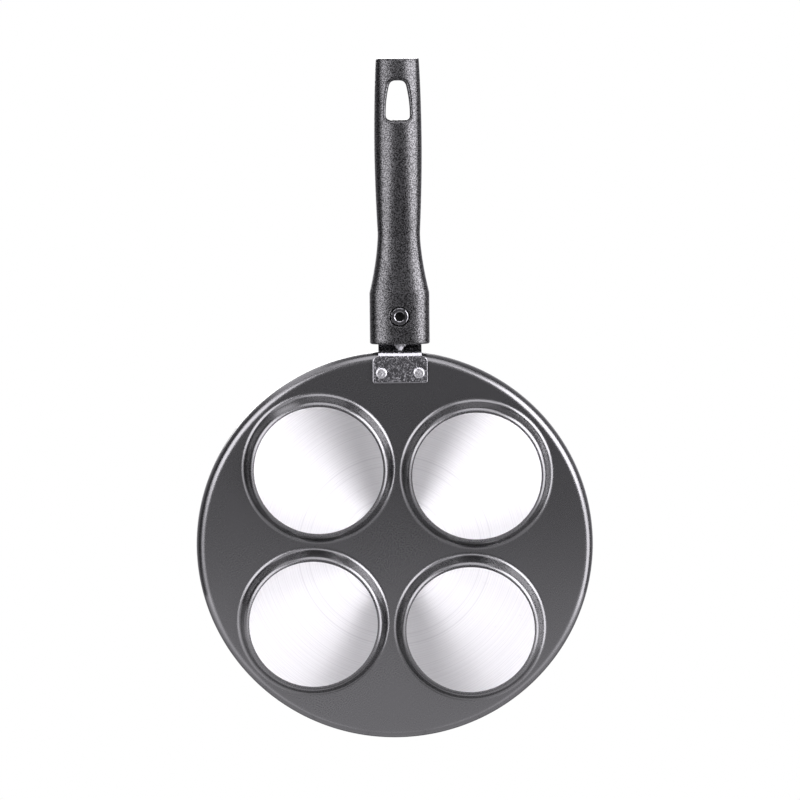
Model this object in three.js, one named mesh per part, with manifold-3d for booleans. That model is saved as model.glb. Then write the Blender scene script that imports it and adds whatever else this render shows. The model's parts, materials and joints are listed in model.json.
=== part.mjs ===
// Pancake pan: a pressed aluminium pan with four round cups, a riveted steel bracket and a moulded handle.
// Units are millimetres and +Z is up. The pan rests on the ground discs under its cups, cooking side up,
// and its handle points along -Y.
import * as THREE from 'three';
import { mergeVertices } from 'three/addons/utils/BufferGeometryUtils.js';
import Module from 'manifold-3d';

const wasm = await Module();
wasm.setup();

const degrees = THREE.MathUtils.degToRad;

// Pan sheet and the cups pressed into it; a bend is measured on the inside of its curve
const SHEET = 2.5;
const CUP_COUNT = 4;
const CUP_TURN = degrees(2.6);
const CUP_DEPTH = 8;
const DISC_RADIUS = 42.1;
const CUP_DRAFT = degrees(26);
const CUP_FOOT_BEND = 1.5;
const CUP_MOUTH_BEND = 3.6;
const CUP_GAP = 1.45;

// Rim: the gap is the flat deck between a cup's mouth and the bend of the rim
const RIM_GAP = 0.565;
const RIM_BEND = 3.1;
const RIM_WALL = 2.97;
const RIM_FLARE = degrees(6);
const RIM_FLAT = 0.5;

// Bracket: a plate under the pan, a riser past the rim and a tang inside the handle
const BRACKET_SHEET = 2;
const BRACKET_BEND = 3;
const TANG_BEND = 1;
const NECK_WIDTH = 28;
const SHOULDER_WIDTH = 3.75;
const SHOULDER_FROM_RIVET = 10.4;
const PLATE_CORNER = 3;
const PLATE_END_CORNER = 1.4;
const RISER_LEAN = degrees(20);
const RISER_GAP = 0.3;
const TANG_RISE = 0.1;
const TANG_PAST_SCREW = 22.4;
const TANG_CORNER = 5;
const DART_WIDTH = 7.5;
const DART_ON_RISER = 8.6;
const DART_ON_TANG = 6;

// Rivets: a formed tail under the plate and a low domed head on the cooking side
const RIVET_FROM_RIM = 2.25;
const RIVET_FROM_EDGE = 6.8;
const RIVET_FROM_SIDE = 5.55;
const RIVET_SHANK_RADIUS = 2.2;
const RIVET_TAIL_LEDGE = 1.4;
const RIVET_TAIL_HEIGHT = 1.8;
const RIVET_TAIL_EDGE = 0.7;
const RIVET_HEAD_LEDGE = 2.8;
const RIVET_HEAD_HEIGHT = 2;

// Handle: the offset is how far its middle plane lies from the pan's centre
const HANDLE_OFFSET = 4.5;
const HANDLE_PITCH = degrees(7);
const HANDLE_CLEAR = 0.2;
const HANDLE_EDGE = 1.2;
const COLLAR_SQUARENESS = 2.7;
const GRIP_SQUARENESS = 2.15;
const COLLAR_LENGTH = 33.2;
const COLLAR_WALL = 5.15;
const COLLAR_ROOF = 4.1;
const FLARE_LENGTH = 38.8;
const FLARE_POWER = 1.65;
const WAIST_WIDTH = 27.5;
const WAIST_BELOW = 8.5;
const WAIST_ABOVE = 8;
const BELLY_LENGTH = 57;
const BELLY_POWER = 1.8;
const GRIP_WIDTH = 30.8;
const GRIP_BELOW = 9.5;
const GRIP_ABOVE = 9;
const TAPER_LENGTH = 57;
const TAPER_POWER = 2;
const TIP_WIDTH = 27.9;
const TIP_BELOW = 7;
const TIP_ABOVE = 6.5;
const TIP_CROWN = 0.5;
const TIP_RAKE = 1.4;
const TIP_RAKE_LENGTH = 12;

// Hanging hole near the tip of the handle
const HOLE_FROM_TIP = 15.5;
const HOLE_LENGTH = 25.4;
const HOLE_WIDTH_TIP = 9.6;
const HOLE_WIDTH_PAN = 15.6;
const HOLE_CORNER = 3.5;

// Screw, spring washer and nut that hold the handle on the tang
const SCREW_AT = 18;
const SCREW_SHANK_RADIUS = 3;
const SCREW_HEAD_LEDGE = 2.7;
const SCREW_HEAD_HEIGHT = 5;
const SCREW_HEAD_EDGE = 0.7;
const SCREW_RECESS = 0.7;
const SOCKET_WALL = 2.8;
const SOCKET_DEPTH = 3;
const SEAT_FLOOR = 2.5;
const COUNTERBORE_CLEAR = 0.5;
const WASHER_REACH = 0.4;
const WASHER_THICK = 1.3;
const WASHER_SPLIT = 1.2;
const NUT_WALL = 1.7;
const NUT_THICK = 5;

// Clearances and mesh fineness
const CONTACT_GAP = 0.1;
const FIT_GAP = 0.3;
const WELD = 1e-4;
const RIM_SEGMENTS = 64;
const CUP_SEGMENTS = 36;
const SMALL_SEGMENTS = 24;
const SOCKET_SIDES = 6;
const HANDLE_SEGMENTS = 36;
const ARC_STEPS = 3;
const CURVE_STEPS = 6;
const SPAN_STEPS = 5;

// Cup and deck levels, and the circle that just holds the cups side by side
const deckUnder = CUP_DEPTH;
const deckTop = CUP_DEPTH + SHEET;
const cupTurn = Math.PI / 2 - CUP_DRAFT;
const footBend = CUP_FOOT_BEND + SHEET;
const cupWallLow = footBend * (1 - Math.cos(cupTurn));
const cupWallHigh = deckUnder - CUP_MOUTH_BEND * (1 - Math.cos(cupTurn));
const cupWallRun = (cupWallHigh - cupWallLow) * Math.tan(CUP_DRAFT);
const cupMouth = DISC_RADIUS + (footBend + CUP_MOUTH_BEND) * Math.sin(cupTurn) + cupWallRun;
const cupCircle = (cupMouth + CUP_GAP / 2) / Math.sin(Math.PI / CUP_COUNT);

// Rim places
const rimBend = RIM_BEND + SHEET;
const rimBendRadius = cupCircle + cupMouth + RIM_GAP;
const rimBendHeight = deckUnder + rimBend;
const rimTurn = Math.PI / 2 - RIM_FLARE;
const panHeight = rimBendHeight - rimBend * Math.sin(RIM_FLARE) + RIM_WALL;
const rimRadius = rimBendRadius + rimBend * Math.cos(RIM_FLARE) + RIM_WALL * Math.tan(RIM_FLARE);
const lipRadius = (SHEET - RIM_FLAT) / 2;

// Rivet places
const rivetTail = RIVET_SHANK_RADIUS + RIVET_TAIL_LEDGE;
const rivetHead = RIVET_SHANK_RADIUS + RIVET_HEAD_LEDGE;
const rivetHole = RIVET_SHANK_RADIUS + FIT_GAP;
const rivetPlace = rimBendRadius - RIVET_FROM_RIM - rivetHead;
const plateWidth = NECK_WIDTH + 2 * SHOULDER_WIDTH;
const rivetOffset = plateWidth / 2 - RIVET_FROM_SIDE;

// Bracket places
const plateMiddle = deckUnder - CONTACT_GAP - BRACKET_SHEET / 2;
const plateUnder = plateMiddle - BRACKET_SHEET / 2;
const plateEdge = rivetPlace - RIVET_FROM_EDGE;
const plateCorner = Math.min(PLATE_CORNER, SHOULDER_WIDTH);
const bendRadii = [BRACKET_BEND, TANG_BEND].map((inside) => inside + BRACKET_SHEET / 2);
const riserAngle = Math.PI / 2 - RIM_FLARE - RISER_LEAN;
const riserReach = rimBend + RISER_GAP + BRACKET_SHEET / 2;
const tangHeight = panHeight + TANG_RISE;
const tangTurn = riserAngle - HANDLE_PITCH;
const firstBend = riserAt(plateMiddle);
const secondBend = riserAt(tangHeight);
const handleGap = bendRadii[1] * Math.tan(tangTurn / 2) + HANDLE_CLEAR;
const tangLength = handleGap + SCREW_AT + TANG_PAST_SCREW;
const handleStart = tangPoint(handleGap);

// Heights of the screw's stack above and below the middle of the tang
const slotHalf = BRACKET_SHEET / 2 + FIT_GAP;
const screwBore = SCREW_SHANK_RADIUS + FIT_GAP;
const screwHead = SCREW_SHANK_RADIUS + SCREW_HEAD_LEDGE;
const washerRadius = screwHead + WASHER_REACH;
const screwSeat = -slotHalf - SEAT_FLOOR;
const washerUnder = screwSeat - CONTACT_GAP - WASHER_THICK;
const headSeat = washerUnder - CONTACT_GAP;
const headUnder = headSeat - SCREW_HEAD_HEIGHT;
const nutUnder = BRACKET_SHEET / 2 + CONTACT_GAP;
const nutTop = nutUnder + NUT_THICK;
const nutHalf = screwBore + NUT_WALL;

// Handle sizes that follow from what the collar holds
const collarWidth = NECK_WIDTH + 2 * FIT_GAP + 2 * COLLAR_WALL;
const collarBelow = SCREW_RECESS - headUnder;
const collarAbove = nutTop + FIT_GAP + COLLAR_ROOF;
const waistAt = COLLAR_LENGTH + FLARE_LENGTH;
const gripAt = waistAt + BELLY_LENGTH;
const handleLength = gripAt + TAPER_LENGTH;

// Distance of the riser's middle line from the pan's axis at a height
function riserAt(height) {
  const above = height - rimBendHeight;
  return rimBendRadius + (riserReach + above * Math.cos(riserAngle)) / Math.sin(riserAngle);
}

// Point on the tang's middle line, as outward and up, at a distance from the second bend
function tangPoint(distance) {
  const outward = secondBend + distance * Math.cos(HANDLE_PITCH);
  const up = tangHeight + distance * Math.sin(HANDLE_PITCH);
  return new THREE.Vector2(outward, up);
}

// Joining and cutting of closed meshes
function solidOf(geometry) {
  const bare = new THREE.BufferGeometry();
  bare.setAttribute('position', geometry.getAttribute('position').clone());
  if (geometry.getIndex()) bare.setIndex(geometry.getIndex().clone());
  const welded = mergeVertices(bare, WELD);
  const corners = welded.getIndex().array;
  const kept = [];
  for (let k = 0; k < corners.length; k += 3) {
    const [a, b, c] = corners.slice(k, k + 3);
    if (a !== b && b !== c && c !== a) kept.push(a, b, c);
  }
  return new wasm.Manifold(new wasm.Mesh({
    numProp: 3,
    vertProperties: Float32Array.from(welded.getAttribute('position').array),
    triVerts: Uint32Array.from(kept),
  }));
}

function geometryOf(solid) {
  const mesh = solid.getMesh();
  const geometry = new THREE.BufferGeometry();
  geometry.setAttribute('position', new THREE.BufferAttribute(Float32Array.from(mesh.vertProperties), 3));
  geometry.setIndex(new THREE.BufferAttribute(Uint32Array.from(mesh.triVerts), 1));
  geometry.computeVertexNormals();
  return geometry;
}

// A round solid about Z from [radius, height] points that run up its outside
function turned(points, segments) {
  const profile = points.map(([radius, height]) => new THREE.Vector2(radius, height));
  return new THREE.LatheGeometry(profile, segments).rotateX(Math.PI / 2);
}

// A flat shape made thick from one height to another
function slab(shape, low, high, curveSegments = CURVE_STEPS) {
  const settings = { depth: high - low, bevelEnabled: false, curveSegments };
  return new THREE.ExtrudeGeometry(shape, settings).translate(0, 0, low);
}

function cylinder(radius, low, high) {
  return turned([[0, low], [radius, low], [radius, high], [0, high]], SMALL_SEGMENTS);
}

function block(width, depthStart, depthEnd, low, high) {
  const box = new THREE.BoxGeometry(width, depthEnd - depthStart, high - low);
  return box.translate(0, (depthStart + depthEnd) / 2, (low + high) / 2);
}

// Points on an arc in a [radius, height] profile; angle 0 points down and grows outwards
function arcPoints(centre, radius, from, to) {
  const points = [];
  for (let k = 0; k <= ARC_STEPS; k += 1) {
    const angle = from + (to - from) * k / ARC_STEPS;
    points.push([centre[0] + radius * Math.sin(angle), centre[1] - radius * Math.cos(angle)]);
  }
  return points;
}

// Surface of one cup from its floor to the deck: inset 0 is the outside and SHEET the cooking side
function cupSurface(inset) {
  const mouthHeight = deckUnder - CUP_MOUTH_BEND;
  const foot = arcPoints([DISC_RADIUS, footBend], footBend - inset, 0, cupTurn);
  const mouth = arcPoints([cupMouth, mouthHeight], CUP_MOUTH_BEND + inset, cupTurn - Math.PI, -Math.PI);
  return [...foot, ...mouth];
}

function cupOutside() {
  const inSheet = (deckUnder + deckTop) / 2;
  return turned([[0, 0], ...cupSurface(0), [cupMouth, inSheet], [0, inSheet]], CUP_SEGMENTS);
}

function cupInside() {
  return turned([[0, SHEET], ...cupSurface(SHEET), [cupMouth, panHeight], [0, panHeight]], CUP_SEGMENTS);
}

// Flat deck with the rim bent up around it and the rim's lip rounded on both sides
function plateOutside() {
  const bend = arcPoints([rimBendRadius, rimBendHeight], rimBend, 0, rimTurn);
  const lip = arcPoints([rimRadius - lipRadius, panHeight - lipRadius], lipRadius, Math.PI / 2, Math.PI);
  return turned([[0, deckUnder], ...bend, ...lip, [0, panHeight]], RIM_SEGMENTS);
}

function plateInside() {
  const bend = arcPoints([rimBendRadius, rimBendHeight], RIM_BEND, 0, rimTurn);
  const lipCentre = [rimRadius - SHEET + lipRadius, panHeight - lipRadius];
  const lip = arcPoints(lipCentre, lipRadius, -Math.PI / 2, -Math.PI);
  const above = panHeight + SHEET;
  return turned([[0, deckTop], ...bend, ...lip, [lipCentre[0], above], [0, above]], RIM_SEGMENTS);
}

function panBody() {
  let outside = solidOf(plateOutside());
  let inside = solidOf(plateInside());
  for (let k = 0; k < CUP_COUNT; k += 1) {
    const angle = CUP_TURN + (k + 0.5) * 2 * Math.PI / CUP_COUNT;
    const x = cupCircle * Math.cos(angle);
    const y = cupCircle * Math.sin(angle);
    outside = outside.add(solidOf(cupOutside().translate(x, y, 0)));
    inside = inside.add(solidOf(cupInside().translate(x, y, 0)));
  }
  let sheet = outside.subtract(inside);
  for (const x of rivetPlaces()) {
    const hole = cylinder(rivetHole, deckUnder - SHEET, deckTop + SHEET);
    sheet = sheet.subtract(solidOf(hole.translate(x, -rivetPlace, 0)));
  }
  return geometryOf(sheet);
}

function rivetPlaces() {
  return [HANDLE_OFFSET - rivetOffset, HANDLE_OFFSET + rivetOffset];
}

// Middle line of the bracket seen from the side, as [outward, up] points with its bends rounded
function bracketLine() {
  const corners = [
    new THREE.Vector2(plateEdge - BRACKET_SHEET, plateMiddle),
    new THREE.Vector2(firstBend, plateMiddle),
    tangPoint(0),
    tangPoint(tangLength),
  ];
  const line = [corners[0]];
  for (const k of [1, 2]) {
    const before = corners[k - 1].clone().sub(corners[k]).normalize();
    const after = corners[k + 1].clone().sub(corners[k]).normalize();
    const halfTurn = (Math.PI - Math.acos(before.dot(after))) / 2;
    const radius = bendRadii[k - 1];
    const start = corners[k].clone().addScaledVector(before, radius * Math.tan(halfTurn));
    const end = corners[k].clone().addScaledVector(after, radius * Math.tan(halfTurn));
    const bisector = before.clone().add(after).normalize();
    const centre = corners[k].clone().addScaledVector(bisector, radius / Math.cos(halfTurn));
    const side = Math.sign(start.clone().sub(centre).cross(end.clone().sub(centre)));
    const turn = 2 * halfTurn * side;
    for (let step = 0; step <= ARC_STEPS; step += 1) {
      line.push(start.clone().rotateAround(centre, turn * step / ARC_STEPS));
    }
  }
  line.push(corners[3]);
  return line;
}

// Side outline of the bent sheet: its middle line pushed out to both faces
function bracketSide() {
  const line = bracketLine();
  const faces = [[], []];
  line.forEach((point, k) => {
    const back = line[Math.max(k - 1, 0)];
    const next = line[Math.min(k + 1, line.length - 1)];
    const forward = next.clone().sub(back).normalize();
    const normal = new THREE.Vector2(-forward.y, forward.x).multiplyScalar(BRACKET_SHEET / 2);
    faces[0].push(point.clone().add(normal));
    faces[1].unshift(point.clone().sub(normal));
  });
  return new THREE.Shape([...faces[0], ...faces[1]]);
}

// Outline of the bracket seen from above: a wide plate that narrows to the neck and tang
function bracketPlan() {
  const plate = plateWidth / 2;
  const neck = NECK_WIDTH / 2;
  const shoulder = rivetPlace + SHOULDER_FROM_RIVET;
  const end = tangPoint(tangLength).x;
  const shape = new THREE.Shape();
  shape.moveTo(-plate + PLATE_END_CORNER, -plateEdge);
  shape.lineTo(plate - PLATE_END_CORNER, -plateEdge);
  shape.quadraticCurveTo(plate, -plateEdge, plate, -plateEdge - PLATE_END_CORNER);
  shape.lineTo(plate, -shoulder + plateCorner);
  shape.quadraticCurveTo(plate, -shoulder, plate - plateCorner, -shoulder);
  shape.lineTo(neck, -shoulder);
  shape.lineTo(neck, -end + TANG_CORNER);
  shape.lineTo(neck - TANG_CORNER, -end);
  shape.lineTo(-neck + TANG_CORNER, -end);
  shape.lineTo(-neck, -end + TANG_CORNER);
  shape.lineTo(-neck, -shoulder);
  shape.lineTo(-plate + plateCorner, -shoulder);
  shape.quadraticCurveTo(-plate, -shoulder, -plate, -shoulder + plateCorner);
  shape.lineTo(-plate, -plateEdge - PLATE_END_CORNER);
  shape.quadraticCurveTo(-plate, -plateEdge, -plate + PLATE_END_CORNER, -plateEdge);
  return shape;
}

// Pressed dart that stiffens the bend between riser and tang: a tetrahedron across the corner
function bracketDart() {
  const riserEnd = [
    secondBend - DART_ON_RISER * Math.cos(riserAngle),
    tangHeight - DART_ON_RISER * Math.sin(riserAngle),
  ];
  const tangEnd = tangPoint(DART_ON_TANG);
  const corners = [
    [-DART_WIDTH / 2, -secondBend, tangHeight],
    [DART_WIDTH / 2, -secondBend, tangHeight],
    [0, -riserEnd[0], riserEnd[1]],
    [0, -tangEnd.x, tangEnd.y],
  ];
  const geometry = new THREE.BufferGeometry();
  geometry.setAttribute('position', new THREE.Float32BufferAttribute(corners.flat(), 3));
  geometry.setIndex([0, 1, 2, 0, 2, 3, 0, 3, 1, 1, 3, 2]);
  return geometry;
}

function bracket() {
  const side = slab(bracketSide(), -plateWidth, plateWidth);
  side.rotateX(Math.PI / 2).rotateZ(-Math.PI / 2);
  const highest = tangHeight + tangLength;
  let solid = solidOf(side).intersect(solidOf(slab(bracketPlan(), 0, highest)));
  solid = solid.add(solidOf(bracketDart()));
  for (const offset of [-rivetOffset, rivetOffset]) {
    const hole = cylinder(rivetHole, 0, deckTop);
    solid = solid.subtract(solidOf(hole.translate(offset, -rivetPlace, 0)));
  }
  const screwHole = cylinder(screwBore, -NUT_THICK, NUT_THICK);
  screwHole.translate(0, -SCREW_AT, 0).rotateX(-HANDLE_PITCH);
  solid = solid.subtract(solidOf(screwHole.translate(0, -handleStart.x, handleStart.y)));
  return geometryOf(solid).translate(HANDLE_OFFSET, 0, 0);
}

// Rivet about its own axis, at the heights that hold plate and pan together
function rivet() {
  const tailTop = plateUnder - CONTACT_GAP;
  const tail = tailTop - RIVET_TAIL_HEIGHT;
  const domeUnder = deckTop + CONTACT_GAP;
  const domeTop = domeUnder + RIVET_HEAD_HEIGHT;
  const domeRadius = (rivetHead ** 2 + RIVET_HEAD_HEIGHT ** 2) / (2 * RIVET_HEAD_HEIGHT);
  const domeFrom = Math.PI - Math.asin(rivetHead / domeRadius);
  const dome = arcPoints([0, domeTop - domeRadius], domeRadius, domeFrom, Math.PI);
  return turned([
    [0, tail],
    [rivetTail - RIVET_TAIL_EDGE, tail],
    [rivetTail, tail + RIVET_TAIL_EDGE],
    [rivetTail, tailTop],
    [RIVET_SHANK_RADIUS, tailTop],
    [RIVET_SHANK_RADIUS, domeUnder],
    ...dome.slice(0, -1),
    [0, domeTop],
  ], SMALL_SEGMENTS);
}

// Size of the handle at a distance from its pan end
function sizeAt(distance, collar, waist, grip, tip) {
  if (distance <= COLLAR_LENGTH) return collar;
  if (distance <= waistAt) {
    const left = (waistAt - distance) / FLARE_LENGTH;
    return waist + (collar - waist) * left ** FLARE_POWER;
  }
  if (distance <= gripAt) {
    const left = (gripAt - distance) / BELLY_LENGTH;
    return grip + (waist - grip) * left ** BELLY_POWER;
  }
  const gone = (distance - gripAt) / TAPER_LENGTH;
  return grip + (tip - grip) * gone ** TAPER_POWER;
}

// One rounded section of the handle; inset draws it in at the two ends
function handleRing(distance, inset) {
  const half = sizeAt(distance, collarWidth, WAIST_WIDTH, GRIP_WIDTH, TIP_WIDTH) / 2 - inset;
  const below = sizeAt(distance, collarBelow, WAIST_BELOW, GRIP_BELOW, TIP_BELOW) - inset;
  const above = sizeAt(distance, collarAbove, WAIST_ABOVE, GRIP_ABOVE, TIP_ABOVE) - inset;
  const power = 2 / sizeAt(distance, COLLAR_SQUARENESS, COLLAR_SQUARENESS, GRIP_SQUARENESS, GRIP_SQUARENESS);
  const ring = [];
  for (let k = 0; k < HANDLE_SEGMENTS; k += 1) {
    const angle = 2 * Math.PI * k / HANDLE_SEGMENTS;
    const across = Math.sign(Math.cos(angle)) * Math.abs(Math.cos(angle)) ** power;
    const up = Math.sign(Math.sin(angle)) * Math.abs(Math.sin(angle)) ** power;
    ring.push([half * across, up > 0 ? above * up : below * up]);
  }
  return ring;
}

// Skin through a row of rings, closed by a fan of triangles at each end
function handleSkin() {
  const stops = [
    [0, HANDLE_EDGE],
    [HANDLE_EDGE, 0],
    [COLLAR_LENGTH, 0],
  ];
  const spans = [[COLLAR_LENGTH, waistAt], [waistAt, gripAt], [gripAt, handleLength - HANDLE_EDGE]];
  for (const [from, to] of spans) {
    for (let step = 1; step <= SPAN_STEPS; step += 1) {
      stops.push([from + (to - from) * step / SPAN_STEPS, 0]);
    }
  }
  stops.push([handleLength, HANDLE_EDGE]);
  const positions = [];
  for (const [distance, inset] of stops) {
    const nearTip = Math.max(0, (distance - gripAt) / TAPER_LENGTH);
    const nearEnd = Math.max(0, 1 - (handleLength - distance) / TIP_RAKE_LENGTH);
    for (const [x, z] of handleRing(distance, inset)) {
      const edge = x / (TIP_WIDTH / 2);
      const crown = TIP_CROWN * nearTip * edge * edge;
      const rake = TIP_RAKE * nearEnd * nearEnd * (TIP_ABOVE - z) / (TIP_ABOVE + TIP_BELOW);
      positions.push(x, crown + rake - distance, z);
    }
  }
  const index = [];
  const around = (ring, k) => ring * HANDLE_SEGMENTS + (k % HANDLE_SEGMENTS);
  for (let ring = 0; ring < stops.length - 1; ring += 1) {
    for (let k = 0; k < HANDLE_SEGMENTS; k += 1) {
      index.push(around(ring, k), around(ring, k + 1), around(ring + 1, k));
      index.push(around(ring, k + 1), around(ring + 1, k + 1), around(ring + 1, k));
    }
  }
  const last = stops.length - 1;
  for (let k = 1; k < HANDLE_SEGMENTS - 1; k += 1) {
    index.push(around(0, 0), around(0, k + 1), around(0, k));
    index.push(around(last, 0), around(last, k), around(last, k + 1));
  }
  const geometry = new THREE.BufferGeometry();
  geometry.setAttribute('position', new THREE.Float32BufferAttribute(positions, 3));
  geometry.setIndex(index);
  return geometry;
}

// Outline of the hanging hole: narrow and rounded at the tip, wider with bowed sides towards the pan
function hangingHole() {
  const tip = HOLE_FROM_TIP - handleLength;
  const pan = tip + HOLE_LENGTH;
  const bow = tip + HOLE_LENGTH / 2;
  const narrow = HOLE_WIDTH_TIP / 2;
  const wide = HOLE_WIDTH_PAN / 2;
  const corner = Math.min(HOLE_CORNER, narrow, wide);
  const sideStart = narrow + corner * (wide - narrow) / (bow - tip);
  const shape = new THREE.Shape();
  shape.moveTo(-narrow + corner, tip);
  shape.lineTo(narrow - corner, tip);
  shape.quadraticCurveTo(narrow, tip, sideStart, tip + corner);
  shape.quadraticCurveTo(wide, bow, wide, pan - corner);
  shape.quadraticCurveTo(wide, pan, wide - corner, pan);
  shape.lineTo(-wide + corner, pan);
  shape.quadraticCurveTo(-wide, pan, -wide, pan - corner);
  shape.quadraticCurveTo(-wide, bow, -sideStart, tip + corner);
  shape.quadraticCurveTo(-narrow, tip, -narrow + corner, tip);
  return shape;
}

// Handle with its hanging hole, tang socket, nut pocket, dart relief and screw counterbore
function handleGrip() {
  const through = collarAbove + collarBelow;
  const mouth = HANDLE_EDGE;
  const slotEnd = SCREW_AT + TANG_PAST_SCREW + FIT_GAP;
  const nutReach = SCREW_AT + nutHalf + FIT_GAP;
  const dartReach = Math.max(0, DART_ON_TANG - handleGap) + FIT_GAP;
  const dartSlope = DART_ON_RISER * Math.sin(tangTurn) / (DART_ON_TANG + DART_ON_RISER * Math.cos(tangTurn));
  const dartDrop = dartReach * dartSlope + FIT_GAP;
  const counterbore = washerRadius + COUNTERBORE_CLEAR;
  const cuts = [
    slab(hangingHole(), -through, through),
    block(NECK_WIDTH + 2 * FIT_GAP, -slotEnd, mouth, -slotHalf, slotHalf),
    block(2 * (nutHalf + FIT_GAP), -nutReach, mouth, 0, nutTop + FIT_GAP),
    block(DART_WIDTH + 2 * FIT_GAP, -dartReach, mouth, -dartDrop, 0),
    cylinder(screwBore, screwSeat - FIT_GAP, 0).translate(0, -SCREW_AT, 0),
    cylinder(counterbore, -through, screwSeat).translate(0, -SCREW_AT, 0),
  ];
  let solid = solidOf(handleSkin());
  for (const cut of cuts) solid = solid.subtract(solidOf(cut));
  return geometryOf(solid);
}

// Cap screw with a hexagon socket; its head faces down
function screw() {
  const body = turned([
    [0, headUnder],
    [screwHead - SCREW_HEAD_EDGE, headUnder],
    [screwHead, headUnder + SCREW_HEAD_EDGE],
    [screwHead, headSeat],
    [SCREW_SHANK_RADIUS, headSeat],
    [SCREW_SHANK_RADIUS, nutTop],
    [0, nutTop],
  ], SMALL_SEGMENTS);
  const socketRadius = screwHead - SOCKET_WALL;
  const socket = new THREE.CylinderGeometry(socketRadius, socketRadius, 2 * SOCKET_DEPTH, SOCKET_SIDES);
  socket.rotateX(Math.PI / 2).translate(0, 0, headUnder);
  return geometryOf(solidOf(body).subtract(solidOf(socket)));
}

// Split spring washer under the screw's head
function springWasher() {
  const split = WASHER_SPLIT / washerRadius / 2;
  const shape = new THREE.Shape();
  shape.absarc(0, 0, washerRadius, split, 2 * Math.PI - split, false);
  shape.absarc(0, 0, screwBore, 2 * Math.PI - split, split, true);
  return slab(shape, washerUnder, washerUnder + WASHER_THICK, SMALL_SEGMENTS / 2);
}

// Square nut that sits on the tang inside the handle
function tangNut() {
  const shape = new THREE.Shape();
  shape.moveTo(-nutHalf, -nutHalf);
  shape.lineTo(nutHalf, -nutHalf);
  shape.lineTo(nutHalf, nutHalf);
  shape.lineTo(-nutHalf, nutHalf);
  const bore = new THREE.Path();
  bore.absarc(0, 0, screwBore, 0, 2 * Math.PI, true);
  shape.holes.push(bore);
  return slab(shape, nutUnder, nutTop, SMALL_SEGMENTS / 2);
}

// Pieces placed in the scene graph
function piece(name, geometry, finish) {
  const mesh = new THREE.Mesh(geometry, new THREE.MeshStandardMaterial(finish));
  mesh.name = name;
  return mesh;
}

const nonStick = { color: 0x46464a, roughness: 0.5, metalness: 0 };
const plainSteel = { color: 0x8a8c90, roughness: 0.3, metalness: 1 };
const softAluminium = { color: 0xc9cacc, roughness: 0.35, metalness: 1 };
const darkMoulding = { color: 0x2b2b2e, roughness: 0.6, metalness: 0 };
const zincSteel = { color: 0xa6a7aa, roughness: 0.35, metalness: 1 };

const pan = new THREE.Group();
pan.add(piece('pan_body', panBody(), nonStick));
pan.add(piece('handle_bracket', bracket(), plainSteel));
['rivet_left', 'rivet_right'].forEach((name, k) => {
  const mesh = piece(name, rivet(), softAluminium);
  mesh.position.set(rivetPlaces()[k], -rivetPlace, 0);
  pan.add(mesh);
});

const handle = new THREE.Group();
handle.position.set(HANDLE_OFFSET, -handleStart.x, handleStart.y);
handle.rotation.x = -HANDLE_PITCH;
handle.add(piece('handle_grip', handleGrip(), darkMoulding));
for (const [name, geometry] of [
  ['handle_screw', screw()],
  ['spring_washer', springWasher()],
  ['tang_nut', tangNut()],
]) {
  const mesh = piece(name, geometry, zincSteel);
  mesh.position.y = -SCREW_AT;
  handle.add(mesh);
}
pan.add(handle);

// The origin is the middle of the whole part's box, on the surface that it rests on
const box = new THREE.Box3().setFromObject(pan, true);
const middle = box.getCenter(new THREE.Vector3());
pan.position.set(-middle.x, -middle.y, -box.min.z);

export default pan;
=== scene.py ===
import json
import math

import bmesh
import bpy
from mathutils import Matrix, Vector
from mathutils.geometry import delaunay_2d_cdt

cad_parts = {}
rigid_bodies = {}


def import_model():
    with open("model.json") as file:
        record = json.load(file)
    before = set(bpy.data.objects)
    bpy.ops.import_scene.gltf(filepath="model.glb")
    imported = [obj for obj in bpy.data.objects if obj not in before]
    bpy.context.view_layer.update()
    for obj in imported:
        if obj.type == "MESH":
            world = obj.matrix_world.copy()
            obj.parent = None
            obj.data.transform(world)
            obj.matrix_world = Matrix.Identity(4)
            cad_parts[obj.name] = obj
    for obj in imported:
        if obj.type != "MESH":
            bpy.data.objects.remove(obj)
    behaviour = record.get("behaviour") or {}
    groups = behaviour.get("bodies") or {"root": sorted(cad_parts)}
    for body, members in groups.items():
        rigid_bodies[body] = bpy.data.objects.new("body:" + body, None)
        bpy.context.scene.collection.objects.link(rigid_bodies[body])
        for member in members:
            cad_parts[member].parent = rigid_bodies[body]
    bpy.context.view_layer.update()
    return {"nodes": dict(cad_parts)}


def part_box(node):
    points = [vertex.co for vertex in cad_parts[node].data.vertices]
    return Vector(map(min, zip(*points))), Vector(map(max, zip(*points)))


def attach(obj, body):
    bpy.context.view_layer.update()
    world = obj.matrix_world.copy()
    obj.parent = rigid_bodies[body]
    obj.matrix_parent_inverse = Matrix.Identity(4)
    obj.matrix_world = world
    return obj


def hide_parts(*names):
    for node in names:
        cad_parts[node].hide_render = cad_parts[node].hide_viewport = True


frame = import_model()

# A pancake pan seen from below: a pressed sheet with four cups, a riveted bracket and a moulded handle.
# Sizes are in millimetres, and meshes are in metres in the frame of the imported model.

MM = 0.001
RIGHT_ANGLE = math.pi / 2
FULL_TURN = 2 * math.pi

# Pan sheet, cups and rim
SHEET = 2.5
CUP_COUNT = 4
CUP_TURN = math.radians(2.6)
CUP_DEPTH = 8
DISC_RADIUS = 42.1
CUP_DRAFT = math.radians(26)
CUP_FOOT_BEND = 1.5
CUP_MOUTH_BEND = 3.6
CUP_GAP = 1.45
RIM_GAP = 0.565
RIM_BEND = 3.1
RIM_WALL = 2.97
RIM_FLARE = math.radians(6)
RIM_FLAT = 0.5

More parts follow.
